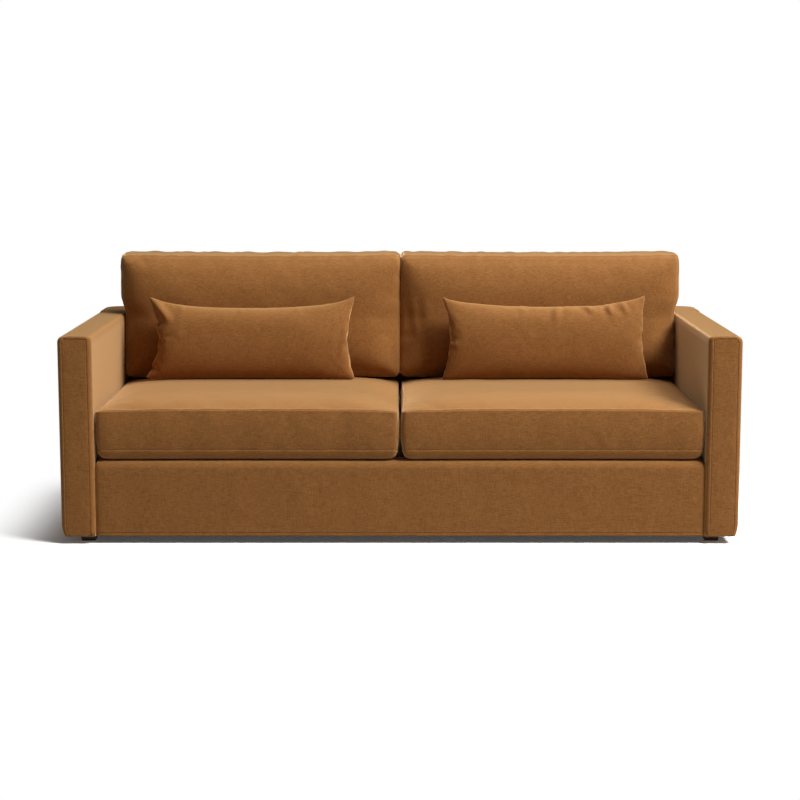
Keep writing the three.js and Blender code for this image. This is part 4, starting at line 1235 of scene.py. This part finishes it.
def back_cushion(side_name, side):
    """The cushion's form and its swelling, then its seams and slack in the cloth. Above the arm
    its outer end swells a little over the arm's line, and its inner end meets its twin in a
    wavy line. The points of its front come with it."""
    u, v, s, faces, front_shape = cushion_mesh(rest_half, rest_thickness, rest_rear_seam)
    firm = 1 - rest_top_firmness * np.clip((v + 0.2) / 0.9, 0, 1)
    swell = rest_swelling(u * side, v, s) * (side, 1, 1) * firm[:, None]
    points = np.stack(rest_form(u, v, s), axis=1) + swell
    above_arm = np.clip((points[:, 2] - arm_top - 0.004) / 0.05, 0, 1)
    over_arm = above_arm ** 2 * (3 - 2 * above_arm)
    fullness = np.sin(np.pi * np.clip(s, 0, 0.8))
    points[:, 0] += side * rest_overhang * over_arm * np.clip(u * side, 0, 1) ** 4 * fullness
    touching = np.clip(1 - np.abs(v) ** 12, 0, 1)
    points[:, 0] -= side * rest_middle_swell * np.clip(-u * side, 0, 1) ** 8 * fullness * touching
    x, y, z = points.T
    distances = seam_distances(u, v, s, rest_half, rest_thickness, rest_rear_seam)
    along = np.where((np.abs(v) - 1) * rest_half[1] > (np.abs(u) - 1) * rest_half[0], x, z)
    seed = 71 if side > 0 else 81
    slack = ripple(x, 0.21, seed + 2) * ripple(z, 0.15, seed + 3) * rest_slack
    pinched = (v > 0.999) * np.sin(np.pi * np.clip(s, 0, 0.9)) * rest_pinch[0]
    for pinch in rest_pinches[side_name]:
        slack -= pinched * np.exp(-(((x - pinch) / rest_pinch[1]) ** 2))
    slack += (s > 0.999) * folds(x, z, rest_folds[side_name])
    relief = sewn_relief(along, distances, rest_seams, seed) + slack
    points = points - point_normals(points, faces) * relief[:, None]
    points[:, 0] += side * (rest_low.x + rest_half[0])
    reach = np.where(points[:, 2] < arm_top + 0.002, rest_high.x, 1.0)
    face = arm_rear - (arm_top - points[:, 2]) * back_slope - rest_clearance
    meeting = rest_meeting_wave * np.sin(2 * np.pi * (face - points[:, 1]) / rest_thickness)
    points[:, 0] = side * np.clip(side * points[:, 0], side * meeting + rest_middle_gap, reach)
    points[:, 1] = np.minimum(points[:, 1], face)
    seat = grid_level(seat_tops[side], 0, 1, points[:, 0], points[:, 1])
    points[:, 2] = np.maximum(points[:, 2], seat + seat_clearance)
    name = f"back_cushion_velvet_{side_name}"
    return sewn_cover(name, points, faces, distances[0], along), points[s == 1].reshape(front_shape)


rest_fronts = {}
for side, side_name in both_sides:
    cushion, rest_fronts[side] = back_cushion(side_name, side)
    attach(cushion, f"back_cushion_{side_name}")
    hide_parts(f"back_cushion_cover_{side_name}")
    dress(nodes[f"back_cushion_fill_{side_name}"], foam)
    dress(nodes[f"back_cushion_zip_{side_name}"], zip_finish)


# Lumbar pillows
# Two knife-edged pillows of fibre: a front and a rear panel sewn edge to edge, so the filling
# draws the sides in and leaves a pointed ear at each corner. They lean on the back cushions.
pillow_low, pillow_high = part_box("lumbar_pillow_cover_right")
pillow_cut = (0.367, 0.1505)
pillow_top_fall = {"left": 0.010, "right": 0.005}
pillow_ears = {"left": (0.014, 0.006), "right": (0.002, 0.007)}
pillow_feet = {"left": (0.015, 0.0), "right": (0.0, 0.014)}
pillow_waist = {"left": (0.002, 0.0), "right": (0.003, -0.018)}
pillow_roundness = 0.5
pillow_narrowing = {"left": 0.975, "right": 0.965}
pillow_shift = {"left": 0.001, "right": -0.016}
pillow_half_thickness = 0.061
pillow_lean = np.arctan(0.12)
pillow_spare = 0.0
pillow_bottom_fall = 0.8
pillow_part = 0.004
pillow_unevenness = 0.0006
pillow_sink = 0.010
pillow_folds = {
    "left": (
        ((-0.345, 0.140), (-0.270, 0.050), 0.012, 0.0110),
        ((-0.245, 0.134), (-0.235, 0.090), 0.009, 0.0050),
        ((-0.050, 0.134), (-0.030, 0.080), 0.010, 0.0050),
        ((0.160, 0.134), (0.150, 0.088), 0.009, 0.0050),
        ((0.335, 0.060), (0.300, -0.070), 0.011, 0.0060),
    ),
    "right": (
        ((0.052, 0.136), (0.032, 0.050), 0.010, 0.0090),
        ((0.120, 0.134), (0.175, 0.080), 0.010, 0.0090),
        ((0.208, 0.136), (0.232, 0.070), 0.009, 0.0095),
        ((0.258, 0.136), (0.282, 0.078), 0.008, 0.0080),
        ((-0.350, -0.010), (-0.290, -0.025), 0.009, 0.0070),
    ),
}
pillow_step = 0.0105
pillow_columns, pillow_rows = [round(2 * half / pillow_step) + 1 for half in pillow_cut]


def envelope(rows, columns):
    """The faces of two sheets of one grid joined at their rims, and which of the second
    sheet's points lie inside its rim."""
    front = numbered(rows, columns)
    inside = np.zeros((rows, columns), bool)
    inside[1:-1, 1:-1] = True
    rear = front.copy()
    rear[inside] = rows * columns + np.arange(inside.sum())
    faces = np.concatenate([quads(front), quads(rear)[:, ::-1]])
    return faces, inside.ravel()


def pillow_blank(seed):
    """The two panels laid flat, barely parted and uneven by half a millimetre."""
    us = np.linspace(-1, 1, pillow_columns)
    vs = np.linspace(-1, 1, pillow_rows)
    u, v = [grid.ravel() for grid in np.meshgrid(us, vs)]
    faces, inside = envelope(pillow_rows, pillow_columns)
    x, y = u * pillow_cut[0], v * pillow_cut[1]
    part = pillow_part * (1 - u ** 6) * (1 - v ** 4)
    uneven = pillow_unevenness * ripple(x, 0.05, seed) * ripple(y, 0.05, seed + 1)
    front = np.stack([x, y, part + uneven], axis=1)
    rear = np.stack([x, y, -part + uneven], axis=1)[inside]
    return np.concatenate([front, rear]), faces, np.zeros(len(front) + len(rear), bool)


blanks = [pillow_blank(seed) for seed in (91, 95)]
pillow_moves = blown_up(blanks, pillow_spare, pillow_half_thickness)


def lumbar_pillow(side_name, side, points, faces):
    """A blown-up pillow, its thickness set to the real one, stood up on the seat and leaned
    on the back cushion, both of which flatten it where they touch."""
    x, y, z = (points - (points.max(0) + points.min(0)) / 2).T
    bottom = slice(0, pillow_columns)
    top = slice(pillow_columns * (pillow_rows - 1), pillow_columns * pillow_rows)
    lowest, topmost = [np.interp(x, x[edge], y[edge]) for edge in (bottom, top)]
    u = x / np.abs(x).max()
    v = np.where(y < 0, -y / lowest, y / topmost)
    upper, lower = np.clip(v, 0, 1) ** 2, np.clip(-v, 0, 1) ** 2
    lens = np.sign(z) * ((1 - np.clip(u ** 4, 0, 1)) * (1 - np.clip(v ** 2, 0, 1))) ** 0.62
    round_share = pillow_roundness * lens + (1 - pillow_roundness) * z / np.abs(z).max()
    z = pillow_half_thickness * round_share
    y = y + pillow_bottom_fall * (y[bottom].min() - lowest) * lower
    y = y - pillow_top_fall[side_name] * (1 - u ** 4) * upper
    x = x * pillow_narrowing[side_name]
    shares = zip((-1, 1), pillow_ears[side_name], pillow_feet[side_name], pillow_waist[side_name])
    for end, ear, foot, waist in shares:
        outer = np.clip(end * u, 0, 1) ** 5
        y = y + ear * outer * upper
        x = x + end * outer * (foot * lower - waist * (1 - v ** 2))
    z = z + (z > 0) * folds(x, y, pillow_folds[side_name])
    tilt = np.pi / 2 - pillow_lean
    deep, tall = y * np.cos(tilt) - z * np.sin(tilt), y * np.sin(tilt) + z * np.cos(tilt)
    stood = np.stack([x, deep, tall], axis=1)
    stood[:, 0] += side * (pillow_low.x + pillow_high.x) / 2 + pillow_shift[side_name]
    stood[:, 1] += pillow_high.y - stood[:, 1].max()
    stood[:, 2] += pillow_low.z - stood[:, 2].min() - pillow_sink
    rest = grid_level(rest_fronts[side], 0, 2, stood[:, 0], stood[:, 2], height=1)
    behind = stood[:, 2] < rest_high.z - 0.02
    stood[:, 1] = np.where(behind, np.minimum(stood[:, 1], rest - seat_clearance), stood[:, 1])
    seat = grid_level(seat_tops[side], 0, 1, stood[:, 0], stood[:, 1])
    stood[:, 2] = np.maximum(stood[:, 2], seat + seat_clearance)
    pillow = new_piece(f"lumbar_pillow_velvet_{side_name}", stood, faces, velvet)
    outward_faces(pillow, stood.mean(0))
    smoothed(pillow, 2)
    return pillow


for (side, side_name), (blank, faces, _), move in zip(both_sides, blanks, pillow_moves):
    pillow = lumbar_pillow(side_name, side, blank + move, faces)
    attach(pillow, f"lumbar_pillow_{side_name}")
    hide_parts(f"lumbar_pillow_cover_{side_name}")
    dress(nodes[f"lumbar_pillow_fill_{side_name}"], foam)


# Floor, light and camera
# A plain pale floor, a large soft light high on the right, a wide one above, and a white
# surround that only the camera and reflections see at full strength.
def seen_directly(made):
    """1 for what the camera sees, also in a gloss or through glass, and 0 for other light."""
    seen = add(made, "ShaderNodeLightPath")
    camera, gloss, glass = (
        seen.outputs[f"Is {kind} Ray"] for kind in ("Camera", "Glossy", "Transmission")
    )
    return reckon(made, "MAXIMUM", camera, reckon(made, "MAXIMUM", gloss, glass))


def floor_finish():
    """A matt pale floor that keeps the sofa's shadow near it, and is seen white further off
    and a little lighter than it lights the sofa."""
    made, shader = new_finish("floor", 1.0)
    seen = seen_directly(made)
    feed(made, shader.inputs["Base Color"], blended(made, seen, paint("b4b4b4"), paint("f6f6f6")))
    shader.inputs["Specular IOR Level"].default_value = 0.0
    past = place_on(made)
    for operation, *other in (("ABSOLUTE",), ("SUBTRACT", sofa_half), ("MAXIMUM",)):
        past = reckon(made, operation, past, *other, kind="ShaderNodeVectorMath")
    away = add(made, "ShaderNodeVectorMath", {0: past}, operation="LENGTH").outputs["Value"]
    inputs = {"Value": away, "From Min": 0.0, "From Max": shadow_reach, "To Min": 0.05}
    far = add(made, "ShaderNodeMapRange", inputs, interpolation_type="SMOOTHSTEP").outputs[0]
    white = add(made, "ShaderNodeEmission", {"Color": (1.0, 1.0, 1.0, 1.0), "Strength": 1.0})
    lift = blended(made, seen, paint("000000"), paint("ffffff"))
    lighter = add(made, "ShaderNodeBsdfDiffuse", {"Color": lift}).outputs[0]
    near = add(made, "ShaderNodeAddShader", {0: shader.outputs[0], 1: lighter}).outputs[0]
    share = reckon(made, "MULTIPLY", far, seen)
    mix = add(made, "ShaderNodeMixShader", {"Fac": share, 1: near, 2: white.outputs[0]})
    feed(made, made.node_tree.nodes["Material Output"].inputs["Surface"], mix.outputs[0])
    return made


sofa_half = (arm_outside, back_high.y, 1.0)
shadow_reach = 0.34
floor_half = 14.0
floor_points = np.array([(-1, -1, 0), (1, -1, 0), (1, 1, 0), (-1, 1, 0)], float) * floor_half
floor = new_piece("floor", floor_points, [[0, 1, 2, 3]], floor_finish())


def soft_light(name, place, aim, size, level):
    """A square lamp of a size in metres, facing a point, whose light there makes a white face
    render at a level, 1 being white."""
    lamp = bpy.data.lights.new(name, "AREA")
    lamp.size = size
    reach = np.array(aim) - np.array(place)
    lamp.energy = level * np.pi ** 2 * float(reach @ reach)
    holder = bpy.data.objects.new(name, lamp)
    bpy.context.scene.collection.objects.link(holder)
    holder.location = place
    holder.rotation_euler = Vector(reach).to_track_quat("-Z", "Y").to_euler()


sofa_middle = (0.0, 0.0, 0.45)
soft_light("key_light", (5.4, -3.5, 6.9), sofa_middle, 3.4, 1.17)
soft_light("top_light", (1.5, 0.9, 6.5), sofa_middle, 3.5, 0.57)

world = bpy.data.worlds.new("surround")
bpy.context.scene.world = world
world.use_nodes = True
surround = world.node_tree.nodes["Background"]
ambient = 0.05
strength = reckon(world, "MULTIPLY_ADD", seen_directly(world), 1.0 - ambient, ambient)
feed(world, surround.inputs["Strength"], strength)
surround.inputs["Color"].default_value = (1.0, 1.0, 1.0, 1.0)

scene = bpy.context.scene
scene.view_settings.view_transform = "Standard"
lens = bpy.data.cameras.new("camera")
lens.lens = 85.0
lens.sensor_width = 36.0
camera = bpy.data.objects.new("camera", lens)
scene.collection.objects.link(camera)
camera.location = (0.0, -6.3379, 1.30285)
camera.rotation_euler = (np.radians(81.776), 0.0, 0.0)
scene.camera = camera
